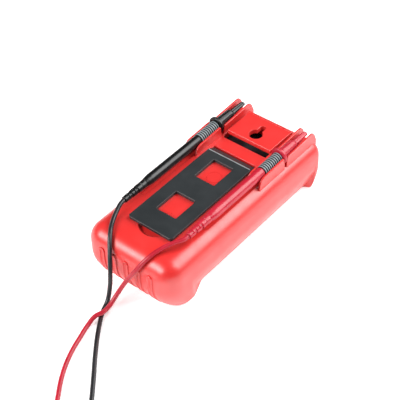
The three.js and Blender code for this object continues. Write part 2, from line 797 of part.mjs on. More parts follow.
// ---------------------------------------------------------------- test probes
const HANDLE = [
  [0, -39],
  [3.7, -39],
  [4.3, -36],
  [4.7, -32],
  [4.7, 31.9],
  [3.7, 31.9],
  [3.7, 57.2],
  [6.6, 57.2],
  [7.3, 57.9],
  [7.3, 59.5],
  [6.6, 60.2],
  [3.1, 60.2],
  [3.1, 71.5],
  [0, 71.5],
];
const RELIEF = [
  [0, -65.2],
  [2.9, -65.2],
  [3.1, -59],
  [3.7, -50],
  [3.8, -41],
  [3.8, -39.3],
  [0, -39.3],
];
const CAP = [
  [0, 94],
  [1.5, 94],
  [1.5, 74],
  [3.4, 72.5],
  [3.4, 60.6],
  [4.9, 60.6],
  [5, 64],
  [4.3, 78],
  [3.2, 80.4],
  [2.2, 97.4],
  [0, 97.8],
];
const NEEDLE = [
  [0, 71.8],
  [1, 71.8],
  [1, 91],
  [0.3, 93.4],
  [0, 93.4],
];
const GRIP_RIBS = 10;
const GRIP_NEAR = 32.2;
const GRIP_FAR = 56.9;

function gripSleeve() {
  const profile = [
    [4, GRIP_NEAR],
    [4.5, GRIP_NEAR],
  ];
  const pitch = (GRIP_FAR - GRIP_NEAR) / GRIP_RIBS;
  for (let i = 0; i < GRIP_RIBS; i += 1) {
    const start = GRIP_NEAR + i * pitch;
    profile.push([5.1, start + pitch * 0.5], [4.5, start + pitch]);
  }
  profile.push([4, GRIP_FAR], [4, GRIP_NEAR]);
  return profile;
}

for (const [name, side] of SIDES) {
  const vinyl = side < 0 ? BLACK_VINYL : RED_VINYL;
  const place = ["y", side * PROBE_X, 0, PROBE_Z];
  part(`probe_handle_${name}`, turned(HANDLE, 12, ...place), vinyl);
  part(`probe_grip_${name}`, turned(gripSleeve(), 10, ...place), GREY_RUBBER);
  part(`strain_relief_${name}`, turned(RELIEF, 10, ...place), vinyl);
  part(`tip_cap_${name}`, turned(CAP, 10, ...place), vinyl);
  part(`probe_needle_${name}`, turned(NEEDLE, 6, ...place), STEEL);
}

// ---------------------------------------------------------------- test leads
// Each lead runs over the near shoulder to the floor, then into a flat coil that ends in a plug.
const COIL_TOWARDS = new THREE.Vector2(0.606, -0.795); // heading of both leads at their coils
const COIL_ACROSS = new THREE.Vector2(0.795, 0.606);
const COIL_OUTER_TURN = COIL_MIDDLE + COIL_HALF_BAND - LEAD_DIAMETER / 2;
const LEADS = {
  black: {
    route: [
      [-35, -65.5, 58.2],
      [-34.6, -70, 57.8],
      [-32.8, -77, 55.6],
      [-29, -86.5, 53.2],
      [-22, -97.3, 51.9],
      [-14.2, -107.4, 42.4],
      [-8.6, -114.6, 29],
      [-6.2, -119.6, 15],
      [-4.6, -125.6, 5.1],
      [-2, -134, 2.5],
      [8, -150, LEAD_LIE],
      [24, -171, LEAD_LIE],
      [39, -189, LEAD_LIE],
      [52, -205, LEAD_LIE],
    ],
    tangent: [75.6, -236],
    turnSide: 1,
  },
  red: {
    route: [
      [35, -65.5, 58.2],
      [34.5, -69.8, 57.9],
      [29.8, -77.6, 56.9],
      [24.4, -87.8, 54.5],
      [20.4, -99.6, 50.9],
      [15.2, -108.2, 41.2],
      [7, -113.6, 26.4],
      [2.6, -121.4, 14],
      [2, -130.6, 7.9],
      [1.6, -137, 6.9],
      [-1.2, -144, 5.8],
      [-1.4, -153, 2.6],
      [1.6, -164, LEAD_LIE],
      [7.6, -182, LEAD_LIE],
      [17, -201, LEAD_LIE],
      [31, -221, LEAD_LIE],
    ],
    tangent: [54.6, -252],
    turnSide: -1,
  },
};
const ENTRY_SHORT = 15.2; // the tube stops here, before its side meets the coil
const PLUG_START = 17;

// Plug: boot, body and insulating shroud, from the lead end.
const PLUG = [
  [0, 0],
  [3, 0],
  [3.6, 7],
  [5.6, 11],
  [6, 13],
  [6, 33],
  [5.3, 34.5],
  [5.3, 54],
  [3.9, 54],
  [3.9, 37],
  [0, 37],
];
const PLUG_PIN = [
  [0, 37.3],
  [1.95, 37.3],
  [1.95, 51],
  [1.2, 53],
  [0, 53],
];

for (const [name] of SIDES) {
  const { route, tangent, turnSide } = LEADS[name];
  const vinyl = name === "black" ? BLACK_VINYL : RED_VINYL;
  const touch = new THREE.Vector2(...tangent);
  const end = touch.clone().addScaledVector(COIL_TOWARDS, -ENTRY_SHORT);
  const points = [...route, [end.x, end.y, LEAD_LIE]].map((p) => new THREE.Vector3(...p));
  const path = new THREE.CatmullRomCurve3(points, false, "centripetal");
  const section = new THREE.Shape().absarc(0, 0, LEAD_DIAMETER / 2, 0, Math.PI * 2);
  const options = { steps: 26, extrudePath: path, curveSegments: 4, bevelEnabled: false };
  part(`lead_${name}`, solidOf(new THREE.ExtrudeGeometry(section, options)), vinyl);

  const centre = touch.clone().addScaledVector(COIL_ACROSS, turnSide * COIL_OUTER_TURN);
  const inside = COIL_MIDDLE - COIL_HALF_BAND;
  const outside = COIL_MIDDLE + COIL_HALF_BAND;
  const band = [
    [inside, 0.1],
    [outside, 0.1],
    [outside, COIL_HEIGHT],
    [inside, COIL_HEIGHT],
    [inside, 0.1],
  ];
  part(`lead_coil_${name}`, turned(band, 20, "z", centre.x, centre.y), vinyl);

  const start = touch.clone().addScaledVector(COIL_TOWARDS, PLUG_START);
  const heading = Math.atan2(COIL_TOWARDS.y, COIL_TOWARDS.x);
  for (const [piece, profile, material] of [
    ["plug", PLUG, vinyl],
    ["plug_pin", PLUG_PIN, BRASS],
  ]) {
    const mesh = new THREE.Mesh(geometryOf(turned(profile, 10, "x")), material);
    mesh.name = `${piece}_${name}`;
    mesh.position.set(start.x, start.y, PLUG_HEIGHT);
    mesh.rotation.z = heading;
    multimeter.add(mesh);
  }
}

export default multimeter;
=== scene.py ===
import math

import bmesh
import bpy
import numpy as np
from mathutils import Matrix, Vector


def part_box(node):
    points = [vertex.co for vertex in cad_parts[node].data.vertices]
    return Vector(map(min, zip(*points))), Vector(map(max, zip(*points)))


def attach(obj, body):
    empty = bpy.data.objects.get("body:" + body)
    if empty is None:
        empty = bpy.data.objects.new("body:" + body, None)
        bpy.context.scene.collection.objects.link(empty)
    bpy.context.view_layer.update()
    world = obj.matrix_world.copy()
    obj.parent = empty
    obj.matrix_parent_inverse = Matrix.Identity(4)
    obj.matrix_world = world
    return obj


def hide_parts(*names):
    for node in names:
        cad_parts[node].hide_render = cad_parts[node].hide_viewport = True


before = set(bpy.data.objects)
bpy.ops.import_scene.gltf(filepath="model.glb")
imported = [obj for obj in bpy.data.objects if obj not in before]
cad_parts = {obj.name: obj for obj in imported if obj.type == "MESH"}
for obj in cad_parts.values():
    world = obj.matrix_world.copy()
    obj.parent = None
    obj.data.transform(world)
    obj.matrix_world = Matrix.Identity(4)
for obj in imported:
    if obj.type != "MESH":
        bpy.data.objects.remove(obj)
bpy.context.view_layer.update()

# A digital multimeter lying on its face in a rubber holster, tilt stand folded, probes clipped on.
# Shapes are worked out in millimetres and made in metres.
MM = 0.001

# ---------- sizes taken from the frame
def span(node):
    """Lowest and highest corner of a frame node, in millimetres."""
    low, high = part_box(node)
    return np.array(low) / MM, np.array(high) / MM


HOLSTER_LOW, HOLSTER_HIGH = span("holster")
STAND_LOW, STAND_HIGH = span("tilt_stand")
RIB_HEIGHT = 1
HALF_WIDTH = HOLSTER_HIGH[0]
NEAR_END = HOLSTER_LOW[1] + RIB_HEIGHT
FAR_END = HOLSTER_HIGH[1]
STAND_HALF_WIDTH = STAND_HIGH[0]
STAND_NEAR = STAND_LOW[1]
STAND_TOP = STAND_HIGH[2]
STAND_BOTTOM = STAND_TOP - 3
BACK = STAND_BOTTOM - 0.3  # height of the holster's back face

# the holster's own form, as in the frame's part
SHOULDER = 15
NEAR_CORNER = 17
FAR_CORNER = 6
BARREL_HEIGHT = 25
BARREL_IN_X = 0.05
BARREL_IN_NEAR = 0.104
BARREL_IN_FAR = 0.072
WAIST_DEPTH = 9.8
WAIST_HEIGHT = 26
FAR_ROUND_START = 41
FAR_ROUND_HEIGHT = 9.5
FAR_ROUND_DEPTH = 7
WINDOW_HALF_WIDTH = 10.7
WINDOWS = [(-52.6, -26.3), (-1.9, 24.8)]
CREASE_Y = 32.8
HINGE_Y = 38.7
HINGE_Z = 48.4
TONGUE_TOP = 56.9
TONGUE_BOTTOM = 52.4
KEYHOLE_Y = 71
KEYHOLE_RADIUS = 6.4
KEYHOLE_END = 84.2
TONGUE_HALF_WIDTH = 23.6
TONGUE_NEAR = 60.6
TONGUE_FAR = 91.2
PROBE_X = 35
PROBE_Z = 58.2
CLIP_FACES = (27.8, 40.3)
CLIP_WALL = 1.9
PANEL = 6.5  # height of the meter's front panel, which faces down
KNOB_Y = -10
BUTTON_Y = 28
JACK_Y = -68
JACK_X = (-29, -9.7, 9.7, 29)
DISPLAY_Y = 56
SIDES = (("black", -1), ("red", 1))
PIN_HOLE_RADIUS = 1.15

OBJECT_MIDDLE = Vector((0, 0, 0.03))
CAMERA_DISTANCE = 0.99906
LAMP_DISTANCE = 1.0
FLOOR_HEIGHT = -0.0001


def placed(name, data):
    """A new object of that data at the origin, linked to the scene."""
    made = bpy.data.objects.new(name, data)
    bpy.context.scene.collection.objects.link(made)
    return made


# ---------- camera
def camera():
    """Looks down at the back from the near right, with a long lens."""
    azimuth = math.radians(40.49)
    elevation = math.radians(43.32)
    roll = math.radians(-2.04)
    level = math.cos(elevation)
    back = Vector((math.sin(azimuth) * level, -math.cos(azimuth) * level, math.sin(elevation)))
    right = Vector((math.cos(azimuth), math.sin(azimuth), 0))
    up = back.cross(right)
    x_axis = math.cos(roll) * right + math.sin(roll) * up
    y_axis = -math.sin(roll) * right + math.cos(roll) * up
    lens = bpy.data.cameras.new("camera")
    lens.lens = 103.15
    lens.sensor_width = 36
    lens.shift_x = -0.0160
    lens.shift_y = -0.0012
    viewer = placed("camera", lens)
    axes = Matrix((x_axis, y_axis, back)).transposed().to_4x4()
    viewer.matrix_world = Matrix.Translation(OBJECT_MIDDLE + back * CAMERA_DISTANCE) @ axes
    bpy.context.scene.camera = viewer


camera()


# ---------- materials
def linear(code):
    """sRGB hex to the linear colour that a shader takes."""
    parts = [int(code[i : i + 2], 16) / 255 for i in (0, 2, 4)]
    return [p / 12.92 if p <= 0.04045 else ((p + 0.055) / 1.055) ** 2.4 for p in parts] + [1]


def node(tree, kind, links=None, **settings):
    """Adds one node: settings are its properties or input values, links are input: output pairs."""
    made = tree.nodes.new(kind)
    for name, value in settings.items():
        if hasattr(made, name):
            setattr(made, name, value)
        else:
            made.inputs[name.replace("_", " ")].default_value = value
    for name, output in (links or {}).items():
        tree.links.new(output, made.inputs[name])
    return made


def ramp(tree, factor, stops):
    """Colours at places from 0 to 1, blended between."""
    made = node(tree, "ShaderNodeValToRGB", {"Fac": factor})
    made.color_ramp.elements[0].position = stops[0][0]
    made.color_ramp.elements[0].color = linear(stops[0][1])
    made.color_ramp.elements[1].position = stops[-1][0]
    made.color_ramp.elements[1].color = linear(stops[-1][1])
    for place, code in stops[1:-1]:
        made.color_ramp.elements.new(place).color = linear(code)
    return made


def per_metre(millimetres):
    """Noise scale whose features are about that many millimetres across."""
    return 1 / (millimetres * MM)


class Finish:
    """A material with a colour that drifts between two close tones, fine grain and uneven polish."""

    def __init__(self, name, dark, light, roughness, drift_mm=12, grain_mm=0.6, grain_depth=0.02,
                 polish=0.06, **shader_values):
        self.material = bpy.data.materials.new(name)
        self.material.use_nodes = True
        self.tree = self.material.node_tree
        self.shader = self.tree.nodes["Principled BSDF"]
        for key, value in shader_values.items():
            self.shader.inputs[key.replace("_", " ")].default_value = value
        self.place = node(self.tree, "ShaderNodeTexCoord").outputs["Object"]
        drift = self.noise(drift_mm, Detail=3)
        self.colour = ramp(self.tree, drift, [(0.35, dark), (0.65, light)]).outputs["Color"]
        self.link("Base Color", self.colour)
        rub = self.noise(drift_mm * 0.4, Detail=5)
        spread = node(
            self.tree, "ShaderNodeMapRange", {"Value": rub},
            From_Min=0.3, From_Max=0.7, To_Min=roughness - polish, To_Max=roughness + polish,
        )
        self.link("Roughness", spread.outputs["Result"])
        self.height = None
        if grain_depth:
            self.bump(self.noise(grain_mm, Detail=2), grain_depth)

    def link(self, socket, output):
        self.tree.links.new(output, self.shader.inputs[socket])

    def noise(self, size_mm, **values):
        made = node(
            self.tree, "ShaderNodeTexNoise", {"Vector": self.place},
            Scale=per_metre(size_mm), **values,
        )
        return made.outputs["Fac"]

    def bump(self, output, depth_mm, strength=0.5):
        links = {"Height": output}
        if self.height:
            links["Normal"] = self.height
        made = node(self.tree, "ShaderNodeBump", links, Strength=strength, Distance=depth_mm * MM)
        self.height = made.outputs["Normal"]
        self.link("Normal", self.height)

    def tint(self, factor, code):
        """Mixes another colour in where the factor is high."""
        mixed = node(self.tree, "ShaderNodeMix", {0: factor, 6: self.colour}, data_type="RGBA")
        mixed.inputs[7].default_value = linear(code)
        self.colour = mixed.outputs[2]
        self.link("Base Color", self.colour)


# Injection-moulded thermoplastic rubber: satin and saturated, with broad soft highlights.
red_rubber = Finish(
    "red_moulded_rubber", "d62826", "de2d2a", 0.36, drift_mm=40, grain_mm=0.5, grain_depth=0.01,
    Sheen_Weight=0.05, Sheen_Roughness=0.4, Specular_IOR_Level=0.9,
)
# Moulded nylon with a fine spark-eroded texture: charcoal, half matt.
charcoal_nylon = Finish(
    "charcoal_moulded_nylon", "25292b", "2b2f31", 0.42, drift_mm=25, grain_mm=0.4, grain_depth=0.012,
)
# The same nylon made pale: a painted highlight for the stand's crease bead.
crease_highlight_nylon = Finish(
    "painted_highlight_nylon", "84888a", "94989a", 0.35, drift_mm=5, grain_mm=0.5, grain_depth=0.004,
)
POLISHED = {"drift_mm": 20, "grain_mm": 1.5, "grain_depth": 0.002, "polish": 0.03}
EXTRUDED = {"drift_mm": 8, "grain_mm": 1.2, "grain_depth": 0.01}
# Polished PVC over the probe's core: black, glossy, with a broad soft highlight.
black_gloss = Finish("black_polished_pvc", "08090a", "0d0e0f", 0.32, **POLISHED)
# The same in crimson.
crimson_gloss = Finish("crimson_polished_pvc", "b61c30", "c02438", 0.3, **POLISHED)
# Extruded lead insulation: soft PVC with faint lengthwise unevenness.
black_lead_pvc = Finish("black_lead_pvc", "1b1c1f", "232528", 0.36, **EXTRUDED)
red_lead_pvc = Finish("red_lead_pvc", "ae182b", "b92034", 0.38, **EXTRUDED)
# Grey over-moulded grip rings; the faces in the valleys between them are coloured near black.
grip_rubber = Finish(
    "grey_grip_rubber", "7b8589", "8b9498", 0.45, drift_mm=6, grain_mm=0.4, grain_depth=0.015,
)
valley_rubber = Finish(
    "black_valley_rubber", "101214", "16181b", 0.6, drift_mm=6, grain_mm=0.4, grain_depth=0.01,
)


# ---------- making shapes
def apply_finish(piece, *finishes):
    piece.data.materials.clear()
    for finish in finishes:
        piece.data.materials.append(finish.material)
    return piece


def from_points(name, points, faces):
    """A mesh object from points in millimetres; doubles are merged and faces turned outwards."""
    mesh = bpy.data.meshes.new(name)
    mesh.from_pydata((np.asarray(points, float).reshape(-1, 3) * MM).tolist(), [], faces)
    work = bmesh.new()
    work.from_mesh(mesh)
    bmesh.ops.remove_doubles(work, verts=work.verts, dist=1e-7)
    bmesh.ops.dissolve_degenerate(work, edges=work.edges, dist=1e-7)
    bmesh.ops.recalc_face_normals(work, faces=work.faces)
    work.to_mesh(mesh)
    work.free()
    return placed(name, mesh)


def skin(name, rings, wrap=False):
    """Joins ring to ring with quads, all round; the end rings are closed by flat faces, or meet if wrap."""
    rings = np.asarray(rings, float)
    rows, count = rings.shape[:2]
    index = np.arange(rows * count).reshape(rows, count)
    if wrap:
        index = np.vstack([index, index[:1]])
    beside = np.roll(index, -1, axis=1)
    quads = np.stack([index[:-1], beside[:-1], beside[1:], index[1:]], axis=-1)
    faces = quads.reshape(-1, 4).tolist()
    if not wrap:
        faces += [index[0][::-1].tolist(), index[-1].tolist()]
    return from_points(name, rings, faces)


def fillet(corners, radius, steps=5, closed=True):
    """Each corner of a polyline gives way to a true arc: a conic through the two tangent points,
    weighted by the sine of half the corner's angle."""
    corners = np.asarray(corners, float)
    radii = np.broadcast_to(np.asarray(radius, float), len(corners)).copy()
    if not closed:
        radii[[0, -1]] = 0
    before = np.roll(corners, 1, axis=0) - corners
    after = np.roll(corners, -1, axis=0) - corners
    before_length = np.maximum(np.linalg.norm(before, axis=1), 1e-9)
    after_length = np.maximum(np.linalg.norm(after, axis=1), 1e-9)
    before = before / before_length[:, None]
    after = after / after_length[:, None]
    half = 0.5 * np.arccos(np.clip((before * after).sum(1), -1, 1))
    reach = radii / np.tan(np.maximum(half, 1e-3))
    reach = np.minimum(reach, 0.49 * np.minimum(before_length, after_length))[:, None, None]
    t = np.linspace(0, 1, steps)[None, :, None]
    weight = np.sin(half)[:, None, None]
    start = corners[:, None] + before[:, None] * reach
    end = corners[:, None] + after[:, None] * reach
    parts = ((1 - t) ** 2, 2 * t * (1 - t) * weight, t**2)
    curve = (parts[0] * start + parts[1] * corners[:, None] + parts[2] * end) / sum(parts)
    points = curve.reshape(-1, 2)
    apart = np.linalg.norm(points - np.roll(points, 1, axis=0), axis=1) > 1e-5
    if not closed:
        apart[0] = True
    return points[apart]


def inset(outline, distance):
    """Every side of an anticlockwise outline moves inwards; each corner keeps to both its sides."""
    ahead = np.roll(outline, -1, axis=0) - outline
    ahead = ahead / np.linalg.norm(ahead, axis=1)[:, None]
    normal_ahead = np.stack([-ahead[:, 1], ahead[:, 0]], axis=1)
    normal_behind = np.roll(normal_ahead, 1, axis=0)
    facing = (normal_ahead * normal_behind).sum(1)[:, None]
    return outline + distance * (normal_ahead + normal_behind) / (1 + facing)


def turn_to(points, axis):
    """Carries (a, b, along) to x, y, z with the third number along the given axis."""
    order = {"x": (2, 0, 1), "y": (1, 2, 0), "z": (0, 1, 2)}[axis]
    return np.asarray(points)[..., order]


def at_height(plan, height):
    return np.column_stack([plan, np.full(len(plan), height)])


def anticlockwise(outline):
    """The outline in the order that gives it a positive area."""
    x, y = outline[:, 0], outline[:, 1]
    area = (x * np.roll(y, -1) - y * np.roll(x, -1)).sum()
    return outline if area > 0 else outline[::-1]


def slab(name, outline, low, high, edge=0.4, axis="z", flare=0, steps=4):
    """A plate of a plan outline between two heights. Its rims are quarter rounds of the edge radius;
    a flare instead opens the upper rim outwards, for a cutter that leaves a rounded lip."""
    outline = anticlockwise(np.asarray(outline, float))
    angle = np.linspace(0, math.pi / 2, steps)
    insets = edge * (1 - np.sin(angle))
    heights = edge * (1 - np.cos(angle))
    rows = [(inset_by, low + rise) for inset_by, rise in zip(insets, heights)]
    if flare:
        lip = [(-flare * (1 - math.cos(a)), high - flare + flare * math.sin(a)) for a in angle]
        rows += [*lip, (-flare, high + 6)]
    else:
        rows += [(inset_by, high - rise) for inset_by, rise in zip(insets[::-1], heights[::-1])]
        rows = [(edge + 0.15, low), *rows, (edge + 0.15, high)] if edge else [(0, low), (0, high)]
    rings = [at_height(inset(outline, inset_by), height) for inset_by, height in rows]
    return skin(name, turn_to(rings, axis))


def turned(name, profile, axis, centre=(0, 0, 0), count=48, swell=None, wrap=False):
    """A profile of (radius, place along the axis) carried round the axis. swell(angle, along) multiplies
    the radius, for flats, slots and ribs."""
    profile = np.asarray(profile, float)
    angle = np.linspace(0, 2 * math.pi, count, endpoint=False)[None]
    along = np.repeat(profile[:, 1:], count, axis=1)
    radius = profile[:, :1] * np.ones_like(angle)
    if swell:
        radius = radius * swell(angle, along)
    rings = np.stack([radius * np.cos(angle), radius * np.sin(angle), along], axis=-1)
    return skin(name, turn_to(rings, axis) + np.asarray(centre, float), wrap=wrap)


def resample(profile, step):
    """The same profile with a point at least every step along it."""
    profile = np.asarray(profile, float)
    gaps = np.linalg.norm(np.diff(profile, axis=0), axis=1)
    reach = np.concatenate([[0], np.cumsum(gaps)])
    places = np.unique(np.concatenate([np.arange(0, reach[-1], step), reach]))
    return np.column_stack([np.interp(places, reach, profile[:, k]) for k in (0, 1)])


def carve(piece, others, operation):
    """Joins the others to the piece or cuts them from it, and takes them away."""
    for other in others:
        step = piece.modifiers.new(other.name, "BOOLEAN")
        step.operation = operation
        step.object = other
        step.solver = "MANIFOLD"
    graph = bpy.context.evaluated_depsgraph_get()
    graph.update()
    made = bpy.data.meshes.new_from_object(piece.evaluated_get(graph))
    piece.modifiers.clear()
    spent = piece.data
    piece.data = made
    made.name = spent.name
    bpy.data.meshes.remove(spent)
    for other in others:
        mesh = other.data
        bpy.data.objects.remove(other)
        bpy.data.meshes.remove(mesh)
    return piece


def cut(piece, *others):
    return carve(piece, others, "DIFFERENCE")


def join(piece, *others):
    return carve(piece, others, "UNION")


def shade(piece, angle=30, weighted=True):
    """Smooth across gentle edges, crisp across sharp ones; large faces keep their own direction."""
    mesh = piece.data
    mesh.shade_smooth()
    mesh.set_sharp_from_angle(angle=math.radians(angle))
    if weighted:
        weigh = piece.modifiers.new("weighted", "WEIGHTED_NORMAL")
        weigh.keep_sharp = True
        weigh.weight = 80
    return piece


def settle(piece, body, slot, *finishes, stands_for=(), angle=30):
    """Gives a made piece its finish and body, and hides the frame nodes that it stands for. The slot is not
    used.
    """
    apply_finish(piece, *finishes)
    shade(piece, angle)
    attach(piece, body)
    if stands_for:
        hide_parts(*stands_for)
    return piece


# ---------- test leads, their coils and plugs
LEAD_DIAMETER = 4
LEAD_LIE = 2.1  # height of a lead's centreline on the floor
COIL_TOWARDS = np.array([0.606, -0.795])
COIL_ACROSS = np.array([0.795, 0.606])
COIL_RADII = (26, 22, 18)  # turns beside each other, two layers high
COIL_POINTS = 16  # points in one turn
LEADS = {
    "black": {
        "route": [
            [-35, -65.5, 58.2], [-34.6, -70, 57.8], [-32.8, -77, 55.6], [-29, -86.5, 53.2],
            [-22, -97.3, 51.9], [-14.2, -107.4, 42.4], [-8.6, -114.6, 29], [-6.2, -119.6, 15],
            [-4.6, -125.6, 5.1], [-2, -134, 2.5], [8, -150, 2.1], [24, -171, 2.1], [39, -189, 2.1],
            [52, -205, 2.1],
        ],
        "tangent": [75.6, -236],
        "turn_side": 1,
    },
    "red": {
        "route": [
            [35, -65.5, 58.2], [34.5, -69.8, 57.9], [29.8, -77.6, 56.9], [24.4, -87.8, 54.5],
            [20.4, -99.6, 50.9], [15.2, -108.2, 41.2], [7, -113.6, 26.4], [2.6, -121.4, 14],
            [2, -130.6, 7.9], [1.6, -137, 6.9], [-1.2, -144, 5.8], [-1.4, -153, 2.6],
            [1.6, -164, 2.1], [7.6, -182, 2.1], [17, -201, 2.1], [31, -221, 2.1],
        ],
        "tangent": [54.6, -252],
        "turn_side": -1,
    },
}
PLUG_START = 17
PLUG_HEIGHT = 6.1


def coil_points(tangent, turn_side):
    """Three turns inwards on the floor, a climb, and three turns outwards on top of them. Each turn is a
    circle whose radius eases to the next one's over its last quarter; the centreline starts and ends at
    the tangent point, heading the same way."""
    outer = COIL_RADII[0]
    centre = np.asarray(tangent) + turn_side * outer * COIL_ACROSS
    turns = len(COIL_RADII)
    total = 2 * turns
    share = np.arange(1, total * COIL_POINTS) / COIL_POINTS
    radii = np.array([*COIL_RADII, *COIL_RADII[::-1], COIL_RADII[0]])
    whole = np.floor(share).astype(int)
    ease = np.clip((share - whole - 0.75) / 0.25, 0, 1)
    ease = ease * ease * (3 - 2 * ease)
    radius = radii[whole] * (1 - ease) + radii[np.minimum(whole + 1, total)] * ease
    climb = np.clip((share - turns + 0.25) / 0.5, 0, 1)
    climb = climb * climb * (3 - 2 * climb)
    height = LEAD_LIE + LEAD_DIAMETER * climb
    angle = share * 2 * math.pi
    outwards = -turn_side * COIL_ACROSS
    plan = centre + radius[:, None] * (
        np.cos(angle)[:, None] * outwards + np.sin(angle)[:, None] * COIL_TOWARDS
    )
    return np.column_stack([plan, height])


def lead(colour, finish, plug_pieces):
    """One lead from its probe's strain relief, over the near end to the floor, round its coil and into
    the plug."""
    facts = LEADS[colour]
    tangent = np.array(facts["tangent"])
    coil = coil_points(tangent, facts["turn_side"])
    approach = [[*(tangent - 15.2 * COIL_TOWARDS), LEAD_LIE], [*tangent, LEAD_LIE]]
    top = LEAD_LIE + LEAD_DIAMETER
    leave = [[*tangent, top], [*(tangent + 9 * COIL_TOWARDS), PLUG_HEIGHT]]
    leave.append([*(tangent + (PLUG_START + 3) * COIL_TOWARDS), PLUG_HEIGHT])
    points = np.vstack([facts["route"], approach, coil, leave]) * MM
    line = bpy.data.curves.new(f"lead_line_{colour}", "CURVE")
    line.dimensions = "3D"
    line.bevel_depth = LEAD_DIAMETER / 2 * MM
    line.bevel_resolution = 5
    line.resolution_u = 6
    line.use_fill_caps = True
    spline = line.splines.new("BEZIER")
    spline.bezier_points.add(len(points) - 1)
    spline.bezier_points.foreach_set("co", points.ravel())
    for point in spline.bezier_points:
        point.handle_left_type = "AUTO"
        point.handle_right_type = "AUTO"
    piece = placed(f"lead_line_{colour}", line)
    apply_finish(piece, finish)
    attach(piece, "body")
    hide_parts(f"lead_{colour}", f"lead_coil_{colour}")
    return piece


# ---------- probe plugs on the leads' far ends
# Shrouded plug: tapered boot, ribbed body, insulating shroud with the pin recessed in it.
PLUG_BODY = [
    (0.4, 0), (3, 0), (3.2, 3.5), (3.6, 7), (5.6, 11), (6, 13), (6, 33), (5.3, 34.5), (5.3, 54),
    (3.9, 54), (3.9, 37), (0.4, 37),
]
PLUG_ROUND = [0, 0.4, 2, 2, 1.5, 1, 0.7, 0.4, 0.4, 0.3, 0.3, 0]
PLUG_PIN = [(0.3, 37.3), (1.95, 37.3), (1.95, 51), (1.2, 53), (0.3, 53)]


def grip_rings(first, last, pitch, depth):
    """Radius factor that dips in shallow rings between two places along the axis."""
    def swell(angle, along):
        wave = 0.5 - 0.5 * np.cos(2 * math.pi * (along - first) / pitch)
        inside = (along > first) & (along < last)
        return 1 - depth * np.where(inside, wave, 0) * np.ones_like(angle)
    return swell


def lie_at_coil(piece, facts):
    """Carries a piece made along +X from the origin to the lead's end, heading with the leads."""
    heading = math.atan2(COIL_TOWARDS[1], COIL_TOWARDS[0])
    start = (np.array(facts["tangent"]) + PLUG_START * COIL_TOWARDS) * MM
    place = Matrix.Translation((start[0], start[1], PLUG_HEIGHT * MM))
    piece.data.transform(place @ Matrix.Rotation(heading, 4, "Z"))
    return piece


# Nickel-plated brass: bright, slightly warm metal with fine turning marks.
nickel = Finish(
    "nickel_plated_brass", "c4c0b6", "d2cfc6", 0.24, drift_mm=3, grain_mm=0.3, grain_depth=0.004,
    Metallic=1.0,
)


def plug(colour, finish, slot):
    """The shrouded body and its pin, each a profile carried round the axis and laid at the lead's end."""
    profile = resample(fillet(PLUG_BODY, PLUG_ROUND, closed=False), 0.5)
    body = turned(f"plug_body_{colour}", profile, "x", swell=grip_rings(16, 30, 2, 0.09))
    lie_at_coil(body, LEADS[colour])
    settle(body, "body", slot, finish, stands_for=(f"plug_{colour}",))
    pin = turned(f"plug_tip_{colour}", fillet(PLUG_PIN, 0.4, closed=False), "x", count=32)
    lie_at_coil(pin, LEADS[colour])
    settle(pin, "body", "brass", nickel, stands_for=(f"plug_pin_{colour}",))
    return [body, pin]


VINYL = {
    "black": (black_lead_pvc, black_gloss, "black_vinyl"),
    "red": (red_lead_pvc, crimson_gloss, "red_vinyl"),
}
for colour_name, (lead_finish, gloss_finish, slot_name) in VINYL.items():
    lead(colour_name, lead_finish, plug(colour_name, gloss_finish, slot_name))


# ---------- holster
def plan_ring(half_width, near, far, near_corner, far_corner):
    """Once round a plan with round corners, anticlockwise from the near left corner's end. The long
    sides carry more points where the waist begins and ends."""
    straight = np.linspace(0, 1, 26)[:-1]
    side = np.concatenate(
        [np.linspace(0, 0.22, 26)[:-1], np.linspace(0.22, 0.95, 24)[:-1], np.linspace(0.95, 1, 11)[:-1]]
    )
    near_arc = np.linspace(0, math.pi / 2, 19)[:-1]
    far_arc = np.linspace(0, math.pi / 2, 11)[:-1]
    x_near = half_width - near_corner
    x_far = half_width - far_corner
    y_near = near + near_corner
    y_far = far - far_corner
    parts = [
        (x_near * (2 * straight - 1), near + 0 * straight),
        (x_near + near_corner * np.sin(near_arc), y_near - near_corner * np.cos(near_arc)),
        (half_width + 0 * side, y_near + (y_far - y_near) * side),
        (x_far + far_corner * np.cos(far_arc), y_far + far_corner * np.sin(far_arc)),
        (x_far * (1 - 2 * straight), far + 0 * straight),
        (-x_far - far_corner * np.sin(far_arc), y_far + far_corner * np.cos(far_arc)),
        (-half_width + 0 * side, y_far + (y_near - y_far) * side),
        (-x_near - near_corner * np.cos(near_arc), y_near - near_corner * np.sin(near_arc)),
    ]
    return np.concatenate([np.column_stack(part) for part in parts])


def lowest(a, b, blur):
    """The smaller of two numbers, rounded over where they meet."""
    return -blur * np.logaddexp(-a / blur, -b / blur)


def drawn_in(plan, height):
    """The ends and sides draw in towards the front by the square of the depth below the barrel height;
    then the waist limits the half width, between a flare near the front end and one near the far end."""
    low = max(0, 1 - height / BARREL_HEIGHT) ** 2
    x = plan[:, 0] * (1 - BARREL_IN_X * low)
    y = plan[:, 1] * (1 - np.where(plan[:, 1] < 0, BARREL_IN_NEAR, BARREL_IN_FAR) * low)
    side = HALF_WIDTH - WAIST_DEPTH * max(0, 1 - height / WAIST_HEIGHT) ** 1.5
    flare_y = [-79, -77, -71, -55, -50, 88, 91.4, 96.2, 97.5]
    flare_x = [54, 47.8, 45, 38.4, 30, 30, 38.4, 47.8, 54]
    flare = np.interp(y, flare_y, flare_x)
    limit = -lowest(-side * np.ones_like(flare), -flare, 0.5)
    held = np.where(height < WAIST_HEIGHT, lowest(np.abs(x), limit, 0.12), np.abs(x))
    return np.column_stack([np.sign(x) * held, y, np.full(len(x), height)])


def far_round(height):
    """How far the far edge draws in near the back face: a quarter ellipse."""
    share = min(1, max(0, (height - FAR_ROUND_START) / FAR_ROUND_HEIGHT))
    return FAR_ROUND_DEPTH * (1 - math.sqrt(1 - share * share))


